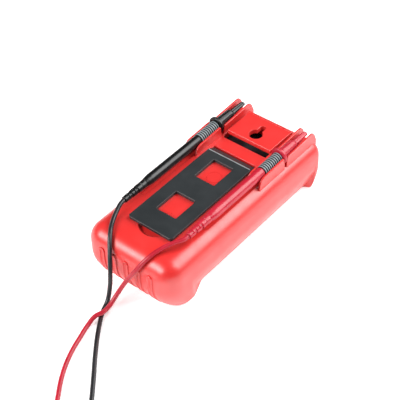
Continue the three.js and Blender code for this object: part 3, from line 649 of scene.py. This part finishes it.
def holster_skin():
    """Rings from the front rim up the wall and round the shoulder to the back face."""
    rim = 1.2
    rows = [(rim * (1 - math.sin(a)), rim * (1 - math.cos(a))) for a in np.linspace(0, math.pi / 2, 5)]
    rows += [(0, height) for height in np.linspace(rim, BACK - SHOULDER, 26)[1:]]
    for a in np.linspace(0, math.pi / 2, 15)[1:]:
        rows.append((SHOULDER * (1 - math.cos(a)), BACK - SHOULDER + SHOULDER * math.sin(a)))
    rows.append((SHOULDER + 0.4, BACK))
    rings = []
    for inset_by, height in rows:
        plan = plan_ring(
            HALF_WIDTH - inset_by,
            NEAR_END + inset_by,
            FAR_END - far_round(height) - min(inset_by, rim) * (height < rim) - 0.4 * (inset_by > SHOULDER),
            max(NEAR_CORNER - inset_by, 0.6),
            FAR_CORNER,
        )
        rings.append(drawn_in(plan, height))
    return skin("holster_rubber", rings)


# A rib's outline carries a low bead: how far in from the edge, and how proud of the wall.
RIB_SECTION = [(0, -9), (0, 0.2), (0.1, 0.65), (0.4, RIB_HEIGHT), (0.95, RIB_HEIGHT), (1.3, 0.75),
               (1.55, 0.3), (1.8, 0.1), (2.75, 0.1)]


def grip_rib(x):
    """One upright pill on the near end: its outline shrinks to its middle line as it rises a millimetre
    from the wall, and every point keeps to the wall's own barrel."""
    half, top = 3, 39
    pill = fillet([(0.2, x - half), (top, x - half), (top, x + half), (0.2, x + half)], [0, 2.9, 2.9, 0], 9)
    pill = anticlockwise(pill)
    pill = resample(np.vstack([pill, pill[:1]]), 1.5)[:-1]
    rings = []
    for inset_by, proud in RIB_SECTION:
        outline = inset(pill, inset_by)
        low = np.maximum(0, 1 - np.maximum(outline[:, 0], 0) / BARREL_HEIGHT) ** 2
        y = (NEAR_END - proud) * (1 - BARREL_IN_NEAR * low)
        rings.append(np.column_stack([outline[:, 1], y, outline[:, 0]]))
    return skin("grip_rib", rings)


SECTION_A = [(20.5, 44), (21.3, 50.5), (23, 56.4), (26.5, 59), (56.2, 60.2), (57.4, 50), (57.4, 44)]
SECTION_A_ROUND = [0, 2, 3, 6, 1, 0, 0]
SECTION_B = [
    (60.2, 38), (60.2, 50), (61.4, 58.7), (97, 60.4), (99.4, 59.8), (101.8, 57),
    (FAR_END - 0.4, 50), (FAR_END - 0.4, 38),
]
SECTION_B_ROUND = [0, 0, 1.5, 6, 2.5, 4, 2, 0]
TONGUE_SECTION = [
    (TONGUE_NEAR, TONGUE_BOTTOM), (85.5, TONGUE_BOTTOM), (85.5, 42), (90, 38), (FAR_END - 2.4, 38),
    (FAR_END - 2.4, 46), (TONGUE_FAR + 0.8, TONGUE_TOP), (TONGUE_NEAR, TONGUE_TOP),
]


def clip_walls():
    """Two short and two long upright plates beside each probe, each an outline in the Y-Z plane."""
    walls = []
    for side in (-1, 1):
        for face in CLIP_FACES:
            left = min(side * face, side * (face + CLIP_WALL))
            for section, radii in ((SECTION_A, SECTION_A_ROUND), (SECTION_B, SECTION_B_ROUND)):
                outline = fillet(section, radii, 6)
                walls.append(slab("clip_wall", outline, left, left + CLIP_WALL, 0.45, "x"))
    return walls


def rectangle(half_width, near, far, corner, x=0, steps=6):
    """A rectangle with arcs for corners, between two places along Y."""
    corners = [(x - half_width, near), (x + half_width, near), (x + half_width, far), (x - half_width, far)]
    return fillet(corners, corner, steps)


def patch(y, half_width, half_length, corner, x=0, steps=6):
    """The same, about a middle."""
    return rectangle(half_width, y - half_length, y + half_length, corner, x, steps)


def disc(radius, x, y, count=40):
    """Points at equal angles round a circle."""
    angle = np.linspace(0, 2 * math.pi, count, endpoint=False)
    return np.column_stack([x + radius * np.cos(angle), y + radius * np.sin(angle)])


def tongue():
    """The hanger tab: a plate on a sloping root, with a keyhole through it."""
    outline = fillet(TONGUE_SECTION, [0.5, 2, 0, 0, 0, 1, 1, 0.7])
    tab = slab("tongue", outline, -TONGUE_HALF_WIDTH, TONGUE_HALF_WIDTH, 0.4, "x")
    slot = rectangle(2.7, KEYHOLE_Y, KEYHOLE_END, [0, 0, 2.6, 2.6], steps=8)
    hole = slab("keyhole", disc(KEYHOLE_RADIUS, 0, KEYHOLE_Y), 40, TONGUE_TOP, 0, flare=0.35)
    return cut(tab, hole, slab("keyhole_slot", slot, 40.1, TONGUE_TOP, 0, flare=0.33))


def meter_space():
    """The space for the meter: a lipped front opening, then the taper to full width, then round edges."""
    lip = 1.2
    low = PANEL - 0.3
    top = 44.4
    round_by = 5.7
    rows = [(37.2, 87.4, 10.4, -3)]
    for a in np.linspace(0, math.pi / 2, 5):
        grow = lip * (1 - math.sin(a))
        rows.append((35.8 + grow, 86 + grow, 9 + grow, lip * (1 - math.cos(a))))
    rows += [(35.8, 86, 9, low), (38.4, 94.9, 14, low)]
    rows += [(42.7, 94.9, 14, 24), (42.7, 94.9, 14, top - round_by)]
    for a in np.linspace(0, math.pi / 2, 6)[1:]:
        draw = round_by * (1 - math.cos(a))
        rows.append((42.7 - draw, 94.9 - draw, 14 - draw, top - round_by + round_by * math.sin(a)))
    rings = []
    for half_width, half_length, corner, height in rows:
        plan = plan_ring(half_width, -half_length, half_length, corner, corner)
        rings.append(at_height(plan, height))
    return skin("meter_space", rings)


def holster():
    """The skin, less its recesses, joined to ribs, clip walls and tongue, less the meter's space."""
    shell = holster_skin()
    gap = slab("tongue_gap", rectangle(26.3, 56.6, 87, 2.5), 38, BACK, 0, flare=0.6)
    dish_profile = fillet([(0.2, 47.7), (12.4, 47.7), (15, 50.5), (16.5, 50.6), (16.5, 56), (0.2, 56)],
                          [0, 2.5, 1.2, 0, 0, 0], 7, closed=False)
    dish = turned("thumb_recess", dish_profile, "z", (0, -65, 0), 64)
    pocket = slab("hinge_pocket", rectangle(24.2, 35.6, 42.4, 0.6), 45.8, BACK, 0, flare=0.4)
    groove_round = [2.5, 2.5, 0.5, 0.5]
    grooves = [
        slab("probe_groove", rectangle(3.6, -45.5, 57, groove_round, x), 47.6, BACK, 0, flare=0.5)
        for x in (-34, 34)
    ]
    arc_section = [(6.6, 50.25), (7, 50.25), (7, 51), (6.6, 51)]
    marks = [
        turned("ejector_mark", arc_section, "z", (2, 9, 0), 56, wrap=True),
        slab("gate_mark", disc(0.5, 1.5, -47.5, 12), 50.1, 51, 0),
    ]
    cut(shell, gap, dish, pocket, *grooves, *marks)
    ribs = [grip_rib(x) for x in (-26, -13, 0, 13, 26)]
    join(shell, *ribs, *clip_walls(), tongue())
    pin_hole = slab("pin_hole", disc(PIN_HOLE_RADIUS, HINGE_Y, HINGE_Z, 20), -28, 28, 0, "x")
    cut(shell, meter_space(), pin_hole)
    settle(shell, "body", "red_rubber", red_rubber, stands_for=("holster",))


holster()


# ---------- tilt stand
def tilt_stand():
    """A flat plate with two windows, bent down past the crease to its hinge barrel."""
    plan = rectangle(STAND_HALF_WIDTH, STAND_NEAR, CREASE_Y + 0.6, [3, 3, 0.2, 0.2])
    plate = slab("stand_plate", plan, STAND_BOTTOM, STAND_TOP, 0.5)
    section = [
        (CREASE_Y - 1, STAND_BOTTOM + 0.05), (35.9, STAND_BOTTOM + 0.05), (36.9, 49.8), (HINGE_Y, HINGE_Z),
        (39.9, 50.35), (CREASE_Y, STAND_TOP - 0.04), (CREASE_Y - 1, STAND_TOP - 0.04),
    ]
    reach = STAND_HALF_WIDTH - 0.03
    web = slab("stand_web", fillet(section, 0.3), -reach, reach, 0.4, "x")
    barrel = slab("stand_barrel", disc(2.3, HINGE_Y, HINGE_Z, 36), -reach - 0.02, reach + 0.02, 0.3, "x")
    join(plate, web, barrel)
    windows = [
        slab("window", rectangle(WINDOW_HALF_WIDTH, near, far, 1), 48, STAND_TOP, 0, flare=0.55)
        for near, far in WINDOWS
    ]
    bore = slab("stand_bore", disc(PIN_HOLE_RADIUS, HINGE_Y, HINGE_Z, 20), -30, 30, 0, "x")
    cut(plate, *windows, bore)
    plate.name = "stand_bail"
    settle(plate, "stand", "charcoal_plastic", charcoal_nylon, stands_for=("tilt_stand",), angle=22)
    # The bead's pale finish is a painted highlight along the crease.
    ridge = [(CREASE_Y - 0.65, 53.6), (CREASE_Y + 0.65, 53.5), (CREASE_Y + 0.4, 54), (CREASE_Y - 0.4, 54.1)]
    crease = slab("stand_crease", fillet(ridge, 0.2, 4), -22.8, 22.8, 0.15, "x")
    settle(crease, "stand", "charcoal_plastic", crease_highlight_nylon)


tilt_stand()


# ---------- test probes
HANDLE = [
    (0.4, -39.2), (3.7, -39.2), (4.3, -36), (4.7, -32), (4.7, 31.9), (4.1, 32.6), (3.8, 33), (3.8, 57.2),
    (6.9, 57.2), (7.9, 57.8), (7.9, 59.6), (6.9, 60.2), (3.1, 60.2), (3.1, 71.5), (0.4, 71.5),
]
HANDLE_ROUND = [0, 0.5, 3, 8, 0.4, 0.4, 0, 0.3, 0.7, 0.7, 0.7, 0.7, 0.2, 0.3, 0]
RELIEF = [(2.2, -65.2), (2.9, -65.2), (3.1, -59), (3.7, -50), (3.8, -41), (3.8, -39.1), (2.2, -39.1)]
CAP_BODY = [
    (3.4, 60.6), (4.9, 60.6), (5, 64), (4.3, 78), (3.6, 79.6), (3.2, 80.4), (2.5, 97.2), (2.1, 97.8),
    (0.4, 97.8),
]
CAP_ROUND = [0, 0.5, 2, 1.5, 0.4, 0.4, 1, 0.5, 0]
NEEDLE = [(0.2, 71.8), (1, 71.8), (1, 91), (0.3, 93.4), (0.1, 93.5)]
GRIP_START = 32.9
GRIP_PITCH = 2.42
GRIP_RINGS = 10


def relief_slots(angle, along):
    """Radius factor for the bend relief: rings of two opposite pockets, each ring turned a quarter
    from the last."""
    factor = np.ones_like(angle) * np.ones_like(along)
    for k, middle in enumerate((-61.2, -57.6, -54.0, -50.4)):
        facing = np.abs(np.cos(angle + k * math.pi / 2))
        across = np.clip((facing - 0.42) / 0.12, 0, 1)
        lengthwise = np.clip((1.15 - np.abs(along - middle)) / 0.25, 0, 1)
        factor = factor - 0.24 * (across * lengthwise)
    collar = np.clip((0.7 - np.abs(along + 44.6)) / 0.2, 0, 1)
    return factor - 0.09 * collar


def blade(angle, along):
    """Radius factor for the cap's tip: past its shoulder it flattens to a narrow blade with a rib."""
    flat = np.clip((along - 79) / 1.5, 0, 1)
    squeeze = 1 / np.sqrt(np.cos(angle) ** 2 / 0.66**2 + np.sin(angle) ** 2)
    rib = 0.16 * np.exp(-((np.sin(angle) / 0.16) ** 2)) * np.clip((97 - along) / 0.6, 0, 1)
    return 1 + flat * (squeeze - 1 + rib)


def cap_flats(angle, along):
    """The cap's body has eight faint flats that fade out at its shoulder, as well as the blade."""
    body = np.clip((78.5 - along) / 2, 0, 1) * np.clip((along - 62) / 2, 0, 1)
    return blade(angle, along) * (1 - 0.018 * body * (1 - np.cos(8 * angle)))


def probe(colour, side):
    """Handle, ribbed sleeve, bend relief, tip cover with its bore, and needle, each turned about Y."""
    _, gloss, slot = VINYL[colour]
    centre = (side * PROBE_X, 0, PROBE_Z)
    handle = turned(f"probe_body_{colour}", fillet(HANDLE, HANDLE_ROUND, 7, closed=False), "y", centre, 64)
    settle(handle, "body", slot, gloss, stands_for=(f"probe_handle_{colour}",))

    rings = [(3.9, GRIP_START), (4.1, GRIP_START)]
    for i in range(GRIP_RINGS):
        start = GRIP_START + i * GRIP_PITCH
        rings += [(4.1, start + 0.4), (5.1, start + 0.6), (5.1, start + 1.75), (4.1, start + 1.95)]
    end = GRIP_START + GRIP_RINGS * GRIP_PITCH - 0.3
    rings += [(4.1, end), (3.9, end)]
    grip = turned(f"probe_sleeve_{colour}", fillet(rings, 0.28, 4), "y", centre, 56, wrap=True)
    apply_finish(grip, grip_rubber, valley_rubber)
    # Faces nearer the axis, in the valleys between the rings, take the near-black finish.
    middles = np.array([face.center for face in grip.data.polygons]) / MM
    reach = np.hypot(middles[:, 0] - centre[0], middles[:, 2] - centre[2])
    grip.data.polygons.foreach_set("material_index", (reach < 4.6).astype(np.int32))
    shade(grip)
    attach(grip, "body")
    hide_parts(f"probe_grip_{colour}")

    relief = turned(
        f"bend_relief_{colour}", resample(fillet(RELIEF, 0.4, closed=False), 0.3), "y", centre, 64,
        swell=relief_slots,
    )
    settle(relief, "body", slot, gloss, stands_for=(f"strain_relief_{colour}",), angle=40)

    cap = turned(
        f"tip_cover_{colour}", resample(fillet(CAP_BODY, CAP_ROUND, closed=False), 0.35),
        "y", centre, 72, swell=cap_flats,
    )
    bore_profile = [(3.4, 59), (3.4, 72.5), (1.5, 74), (1.5, 94), (0.2, 94), (0.2, 59)]
    bore = turned("cap_bore", bore_profile[::-1], "y", centre, 32)
    cut(cap, bore)
    settle(cap, f"tip_cap_{colour}", slot, gloss, stands_for=(f"tip_cap_{colour}",), angle=34)

    needle_profile = fillet(NEEDLE, [0, 0.1, 1, 0.1, 0], closed=False)
    needle = turned(f"probe_tip_{colour}", needle_profile, "y", centre, 28)
    settle(needle, "body", "needle_steel", nickel, stands_for=(f"probe_needle_{colour}",))


for colour_name, side_sign in SIDES:
    probe(colour_name, side_sign)


# ---------- finishes of the meter and its insides
# Moulded ABS with a fine spark-eroded texture: near black, half matt, a little worn by handling.
black_abs = Finish(
    "black_textured_abs", "1a1b1d", "202224", 0.5, drift_mm=30, grain_mm=0.35, grain_depth=0.02,
)
# Screen-printed polyester overlay on the front: dark grey, silky.
overlay = Finish(
    "grey_printed_polyester", "3b4044", "42474b", 0.38, drift_mm=40, grain_mm=0.3, grain_depth=0.006,
)
# Opaque white ink, printed flat and matt.
white_ink = Finish("white_screen_ink", "e4e5e3", "eceded", 0.55, drift_mm=4, grain_depth=0)
# Moulded ABS of the keys and jacks: coloured through, half matt, lightly textured.
MOULDED = {"drift_mm": 8, "grain_mm": 0.4, "grain_depth": 0.01}
yellow_abs = Finish("yellow_moulded_abs", "e0a91f", "e8b52a", 0.42, **MOULDED)
grey_abs = Finish("grey_moulded_abs", "6a7074", "747a7e", 0.45, **MOULDED)
red_abs = Finish("red_moulded_abs", "b8222c", "c42a33", 0.4, **MOULDED)
# Clear acrylic window: polished, and thin enough to show the display undimmed.
acrylic = Finish(
    "clear_acrylic", "f4f8f6", "ffffff", 0.05, drift_mm=30, grain_depth=0, polish=0.02,
    Transmission_Weight=1.0, IOR=1.49,
)
# Liquid-crystal cell: greenish grey behind a polariser, with dark segments.
lcd_cell = Finish("lcd_polariser", "93a08a", "9ba892", 0.3, drift_mm=20, grain_mm=0.5, grain_depth=0.004)
lcd_ink = Finish("lcd_segment", "1c201c", "222622", 0.3, drift_mm=5, grain_depth=0)
# Zinc-plated steel: bright, bluish, with fine drawing marks.
zinc_steel = Finish(
    "zinc_plated_steel", "a9adb1", "bfc2c5", 0.32, drift_mm=2, grain_mm=0.2, grain_depth=0.006, Metallic=1.0,
)
# Rolled brass strip: warm yellow metal with faint rolling marks.
rolled_brass = Finish(
    "rolled_brass", "b88f3e", "cba453", 0.33, drift_mm=3, grain_mm=0.3, grain_depth=0.005, Metallic=1.0,
)
# Glass-epoxy board under green solder mask: the mask shows the weave below and the traces as ridges.
solder_mask = Finish(
    "green_solder_mask", "14573a", "1a6644", 0.35, drift_mm=9, grain_mm=0.5, grain_depth=0.006,
)
epoxy = Finish("black_moulded_epoxy", "17181a", "1d1e20", 0.62, drift_mm=5, grain_mm=0.2, grain_depth=0.01)
battery_print = Finish(
    "printed_battery_can", "2c3338", "3a4248", 0.3, drift_mm=14, grain_mm=0.6, grain_depth=0.004,
)
fuse_glass = Finish("fuse_glass_tube", "c8cfcc", "dde3e0", 0.08, drift_mm=10, grain_depth=0, polish=0.03)
fuse_ceramic = Finish(
    "fuse_ceramic_tube", "dcd6c6", "e8e3d6", 0.45, drift_mm=6, grain_mm=0.5, grain_depth=0.008,
)
silicone = Finish("grey_silicone", "878d91", "93999d", 0.55, drift_mm=6, grain_mm=0.4, grain_depth=0.01)


STRIPE_STEP = 0.02  # how proud a stripe is, in millimetres


def stripes(finish, pitch_mm, code, sharp):
    """Adds bands across X, a pitch apart: a second colour and a slight step. A band texture runs
    through a full turn each time its scaled coordinate grows by a tenth of pi."""
    wave = node(
        finish.tree, "ShaderNodeTexWave", {"Vector": finish.place},
        wave_type="BANDS", bands_direction="X", Scale=math.pi / (10 * pitch_mm * MM),
    )
    band = ramp(finish.tree, wave.outputs["Fac"], [(sharp - 0.05, "000000"), (sharp + 0.05, "ffffff")])
    finish.tint(band.outputs["Color"], code)
    finish.bump(band.outputs["Color"], STRIPE_STEP)


# The board's traces run lengthwise; the zebra strips are carbon and clear rubber by turns.
stripes(solder_mask, 1.27, "237a52", 0.6)
stripes(silicone, 0.6, "26282a", 0.5)

CARRIED = {
    black_abs: ["battery_door", "battery_snap"],
    zinc_steel: [
        "case_screw_1", "case_screw_2", "case_screw_3", "case_screw_4", "battery_door_screw", "hinge_pin",
    ],
    battery_print: ["battery"],
    solder_mask: ["main_board"],
    grey_abs: ["lcd_frame", "selector_rotor"],
    silicone: ["zebra_strip_1", "zebra_strip_2", "button_mat"],
    epoxy: ["main_chip", "buzzer"],
    fuse_glass: ["fuse_small"],
    fuse_ceramic: ["fuse_large"],
    rolled_brass: [
        "fuse_clip_small_1", "fuse_clip_small_2", "fuse_clip_large_1", "fuse_clip_large_2", "current_shunt",
        "wiper_ring",
    ],
}
for finish, names in CARRIED.items():
    for name in names:
        for material_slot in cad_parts[name].material_slots:
            material_slot.material = finish.material


# ---------- meter: covers and front panel
def softened(node_name, name, width, finish, body="body"):
    """A merged copy of a frame node whose sharp edges are rounded by a bevel."""
    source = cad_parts[node_name]
    mesh = source.data.copy()
    work = bmesh.new()
    work.from_mesh(mesh)
    bmesh.ops.remove_doubles(work, verts=work.verts, dist=2e-6)
    bmesh.ops.dissolve_limit(
        work, angle_limit=math.radians(1), verts=work.verts, edges=work.edges,
    )
    work.to_mesh(mesh)
    work.free()
    mesh.name = name
    piece = placed(name, mesh)
    apply_finish(piece, finish)
    shade(piece, weighted=False)
    round_edges = piece.modifiers.new("round_edges", "BEVEL")
    round_edges.width = width * MM
    round_edges.segments = 3
    round_edges.limit_method = "ANGLE"
    round_edges.angle_limit = math.radians(35)
    round_edges.harden_normals = True
    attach(piece, body)
    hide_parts(node_name)
    return piece


KEYS = {
    "power": (-27, yellow_abs),
    "hold": (-9, grey_abs),
    "range": (9, grey_abs),
    "backlight": (27, grey_abs),
}

softened("front_case", "front_cover", 0.5, black_abs)
softened("rear_case", "rear_cover", 0.35, black_abs)


def front_hole(name, outline):
    """A cutter that passes through the overlay."""
    return slab(name, outline, PANEL - 1, PANEL + 1, 0)


def front_overlay():
    """The printed sheet on the front: one plate with holes for window, knob, keys and jacks."""
    sheet = slab("front_overlay", rectangle(34.6, -84, 84.5, 8, steps=10), PANEL - 0.35, PANEL - 0.02, 0.12)
    holes = [
        front_hole("window_hole", patch(DISPLAY_Y, 31.3, 17.3, 2.2)),
        front_hole("knob_hole", disc(21, 0, KNOB_Y, 72)),
    ]
    holes += [front_hole("key_hole", patch(BUTTON_Y, 6.1, 3.6, 1.6, x)) for x, _ in KEYS.values()]
    holes += [front_hole("jack_hole", disc(6.6, x, JACK_Y, 48)) for x in JACK_X]
    cut(sheet, *holes)
    settle(sheet, "body", "grey_plastic", overlay)


def print_text(name, words, x, y, size, finish=white_ink):
    """Letters or numbers in ink on the front, read from below."""
    letters = bpy.data.curves.new(name, "FONT")
    letters.body = words
    letters.size = size * MM
    letters.align_x = "CENTER"
    letters.align_y = "CENTER"
    letters.extrude = 0.05 * MM
    letters.resolution_u = 3
    holder = placed(name, letters)
    graph = bpy.context.evaluated_depsgraph_get()
    mesh = bpy.data.meshes.new_from_object(holder.evaluated_get(graph))
    bpy.data.objects.remove(holder)
    mesh.name = name
    place = Matrix.Translation((x * MM, y * MM, (PANEL - 0.38) * MM))
    mesh.transform(place @ Matrix.Rotation(math.pi, 4, "Y"))
    piece = placed(name, mesh)
    apply_finish(piece, finish)
    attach(piece, "body")
    return piece


DIAL_MARKS = ("0", "600", "200", "20", "2", "200", "20", "2", "200", "20", "2", "20", "200", "10")
DIAL_ARC = math.radians(270)
DIAL_RADIUS = 26.5


def dial_marks():
    """Ranges round the knob: a tick and a number at equal steps over three quarters of a circle."""
    for i, words in enumerate(DIAL_MARKS):
        angle = math.pi / 2 + DIAL_ARC * (i / (len(DIAL_MARKS) - 1) - 0.5)
        x = math.cos(angle)
        y = math.sin(angle)
        print_text(f"range_{i}", words, DIAL_RADIUS * x, KNOB_Y + DIAL_RADIUS * y, 3.3)
        tick = slab("tick", rectangle(0.25, 21.6, 23.4, 0.1), PANEL - 0.42, PANEL - 0.33, 0)
        turn = Matrix.Rotation(angle - math.pi / 2, 4, "Z")
        tick.data.transform(Matrix.Translation((0, KNOB_Y * MM, 0)) @ turn)
        tick.name = f"range_tick_{i}"
        settle(tick, "body", "grey_plastic", white_ink)


def selector():
    """The knob: a scalloped skirt, a finger bar with round edges and a white pointer."""
    profile = [(0.3, 2.6), (17.6, 2.6), (19.3, 3.4), (20, 6), (6.2, 6), (6.2, 11.6), (0.3, 11.6)]
    def scallops(angle, along):
        rim = np.clip((6.2 - along) / 0.2, 0, 1)
        return 1 - 0.022 * rim * (0.5 + 0.5 * np.cos(40 * angle)) ** 2
    skirt = turned(
        "selector_dial", fillet(profile, [0, 0.8, 0.8, 0.5, 0.3, 0.3, 0], closed=False), "z",
        (0, KNOB_Y, 0), 240, swell=scallops,
    )
    bar = slab("finger_bar", patch(KNOB_Y, 3.6, 17.5, 2.6, steps=8), 0.6, 3.4, 0.9)
    join(skirt, bar)
    settle(skirt, "selector", "knob_charcoal", charcoal_nylon, stands_for=("selector_knob",))
    pointer = slab("knob_pointer", rectangle(0.5, KNOB_Y + 9, KNOB_Y + 16.4, 0.4), 0.5, 0.75, 0.06)
    settle(pointer, "selector", "grey_plastic", white_ink)


def keys():
    """Each key: a plate with round edges on a wider foot, less a shallow turned dimple."""
    dimple_section = [(0.2, 4.2), (2.2, 4.2), (1.6, 4.75), (0.2, 4.95)]
    for name, (x, finish) in KEYS.items():
        cap = slab("cap", patch(BUTTON_Y, 5.5, 3, 1.4, x), 4.6, 9.6, 0.7)
        foot = slab("foot", patch(BUTTON_Y, 6.8, 4.3, 1.3, x), 9.2, 10.2, 0.1)
        dimple = turned("dimple", dimple_section, "z", (x, BUTTON_Y, 0), 32)
        join(cap, foot)
        cut(cap, dimple)
        cap.name = f"key_{name}"
        slot = "button_yellow" if name == "power" else "button_grey"
        settle(cap, f"button_{name}", slot, finish, stands_for=(f"button_{name}",))


JACK_NAMES = ("high_current", "low_current", "common", "volt_ohm")
JACK_LABELS = ("10A", "mA", "COM", "V")
JACK_BODY = [(0.2, 20.2), (6, 20.2), (6, 6.8), (4.8, 6.8), (4.8, 18), (2.9, 18), (2.9, 14.4), (2.05, 14.4),
             (2.05, 19), (0.2, 19)]


def jacks():
    """Each jack: one profile, the well with the contact tube in it, carried round Z."""
    profile = fillet(JACK_BODY[::-1], [0, 0, 0.15, 0.15, 0.2, 0.3, 0.35, 0.35, 0.3, 0], closed=False)
    for name, label, x in zip(JACK_NAMES, JACK_LABELS, JACK_X):
        well = turned(f"jack_{name}_well", profile, "z", (x, JACK_Y, 0), 56)
        common = name == "common"
        slot = "jack_black" if common else "jack_red"
        settle(well, "body", slot, black_abs if common else red_abs, stands_for=(f"input_jack_{name}",))
        print_text(f"jack_label_{name}", label, x, JACK_Y + 10, 3.4)


def display():
    """Window, liquid-crystal panel and its seven-segment digits, seen from the front."""
    window = slab("display_lens", patch(DISPLAY_Y, 30.7, 16.7, 1.8), PANEL - 0.1, 9.6, 0.3)
    flange = slab("flange", patch(DISPLAY_Y, 33.5, 19.5, 2), 9.2, 10, 0.1)
    join(window, flange)
    settle(window, "body", "clear_window", acrylic, stands_for=("display_window",))
    panel = slab("lcd_panel", patch(DISPLAY_Y, 30, 16, 0.6), 10.4, 13.2, 0.15)
    settle(panel, "body", "lcd_panel", lcd_cell, stands_for=("lcd_glass",))
    half, tall, thick = 4.2, 9, 0.75
    lines = [(0, y, True) for y in (tall, 0, -tall)]
    lines += [(x, y, False) for x in (half, -half) for y in (tall / 2, -tall / 2)]
    shown = {"0": (0, 2, 3, 4, 5, 6), "1": (5, 6)}
    for i, digit in enumerate("1000"):  # the first digit is on the +X side, the left seen from the front
        middle = 19.5 - 13 * i
        strokes = []
        for k in shown[digit]:
            x, y, level = lines[k]
            wide, high = (half - 0.7, thick) if level else (thick, tall / 2 - 0.7)
            outline = patch(DISPLAY_Y + y, wide, high, 0.5, middle + x, 3)
            strokes.append(slab("stroke", outline, 10.28, 10.38, 0))
        digit_piece = strokes[0]
        join(digit_piece, *strokes[1:])
        digit_piece.name = f"lcd_digit_{i}"
        settle(digit_piece, "body", "lcd_panel", lcd_ink)


front_overlay()
dial_marks()
selector()
keys()
jacks()
display()


# ---------- studio
def softbox(name, aim, width, height, power):
    """A white rectangular light in a direction from the object, facing it."""
    lamp = bpy.data.lights.new(name, "AREA")
    lamp.shape = "RECTANGLE"
    lamp.size = width
    lamp.size_y = height
    lamp.energy = power
    holder = placed(name, lamp)
    towards = Vector(aim).normalized()
    holder.location = OBJECT_MIDDLE + towards * LAMP_DISTANCE
    holder.rotation_euler = towards.to_track_quat("Z", "Y").to_euler()


def studio():
    """A white sheet to stand on, a dim surround and two large soft lights."""
    world = bpy.data.worlds.new("pale_room")
    bpy.context.scene.world = world
    world.use_nodes = True
    surround = world.node_tree.nodes["Background"]
    surround.inputs["Color"].default_value = linear("ffffff")
    surround.inputs["Strength"].default_value = 0.08
    softbox("window", (-0.30, -0.72, 0.59), 0.85, 0.42, 11.5)
    softbox("side", (0.45, 0.57, 0.69), 0.9, 0.8, 15)
    size = 6
    corners = [(-size, -size), (size, -size), (size, size), (-size, size)]
    sheet = bpy.data.meshes.new("floor")
    sheet.from_pydata([(x, y, FLOOR_HEIGHT) for x, y in corners], [], [(0, 1, 2, 3)])
    floor = placed("floor", sheet)
    apply_finish(floor, paper)
    bpy.context.scene.view_settings.view_transform = "Standard"


# Seamless white paper.
paper = Finish(
    "white_paper", "fafafa", "ffffff", 0.8, drift_mm=300, grain_depth=0, Specular_IOR_Level=0.1,
    Emission_Color=(1, 1, 1, 1), Emission_Strength=0.42,
)

studio()
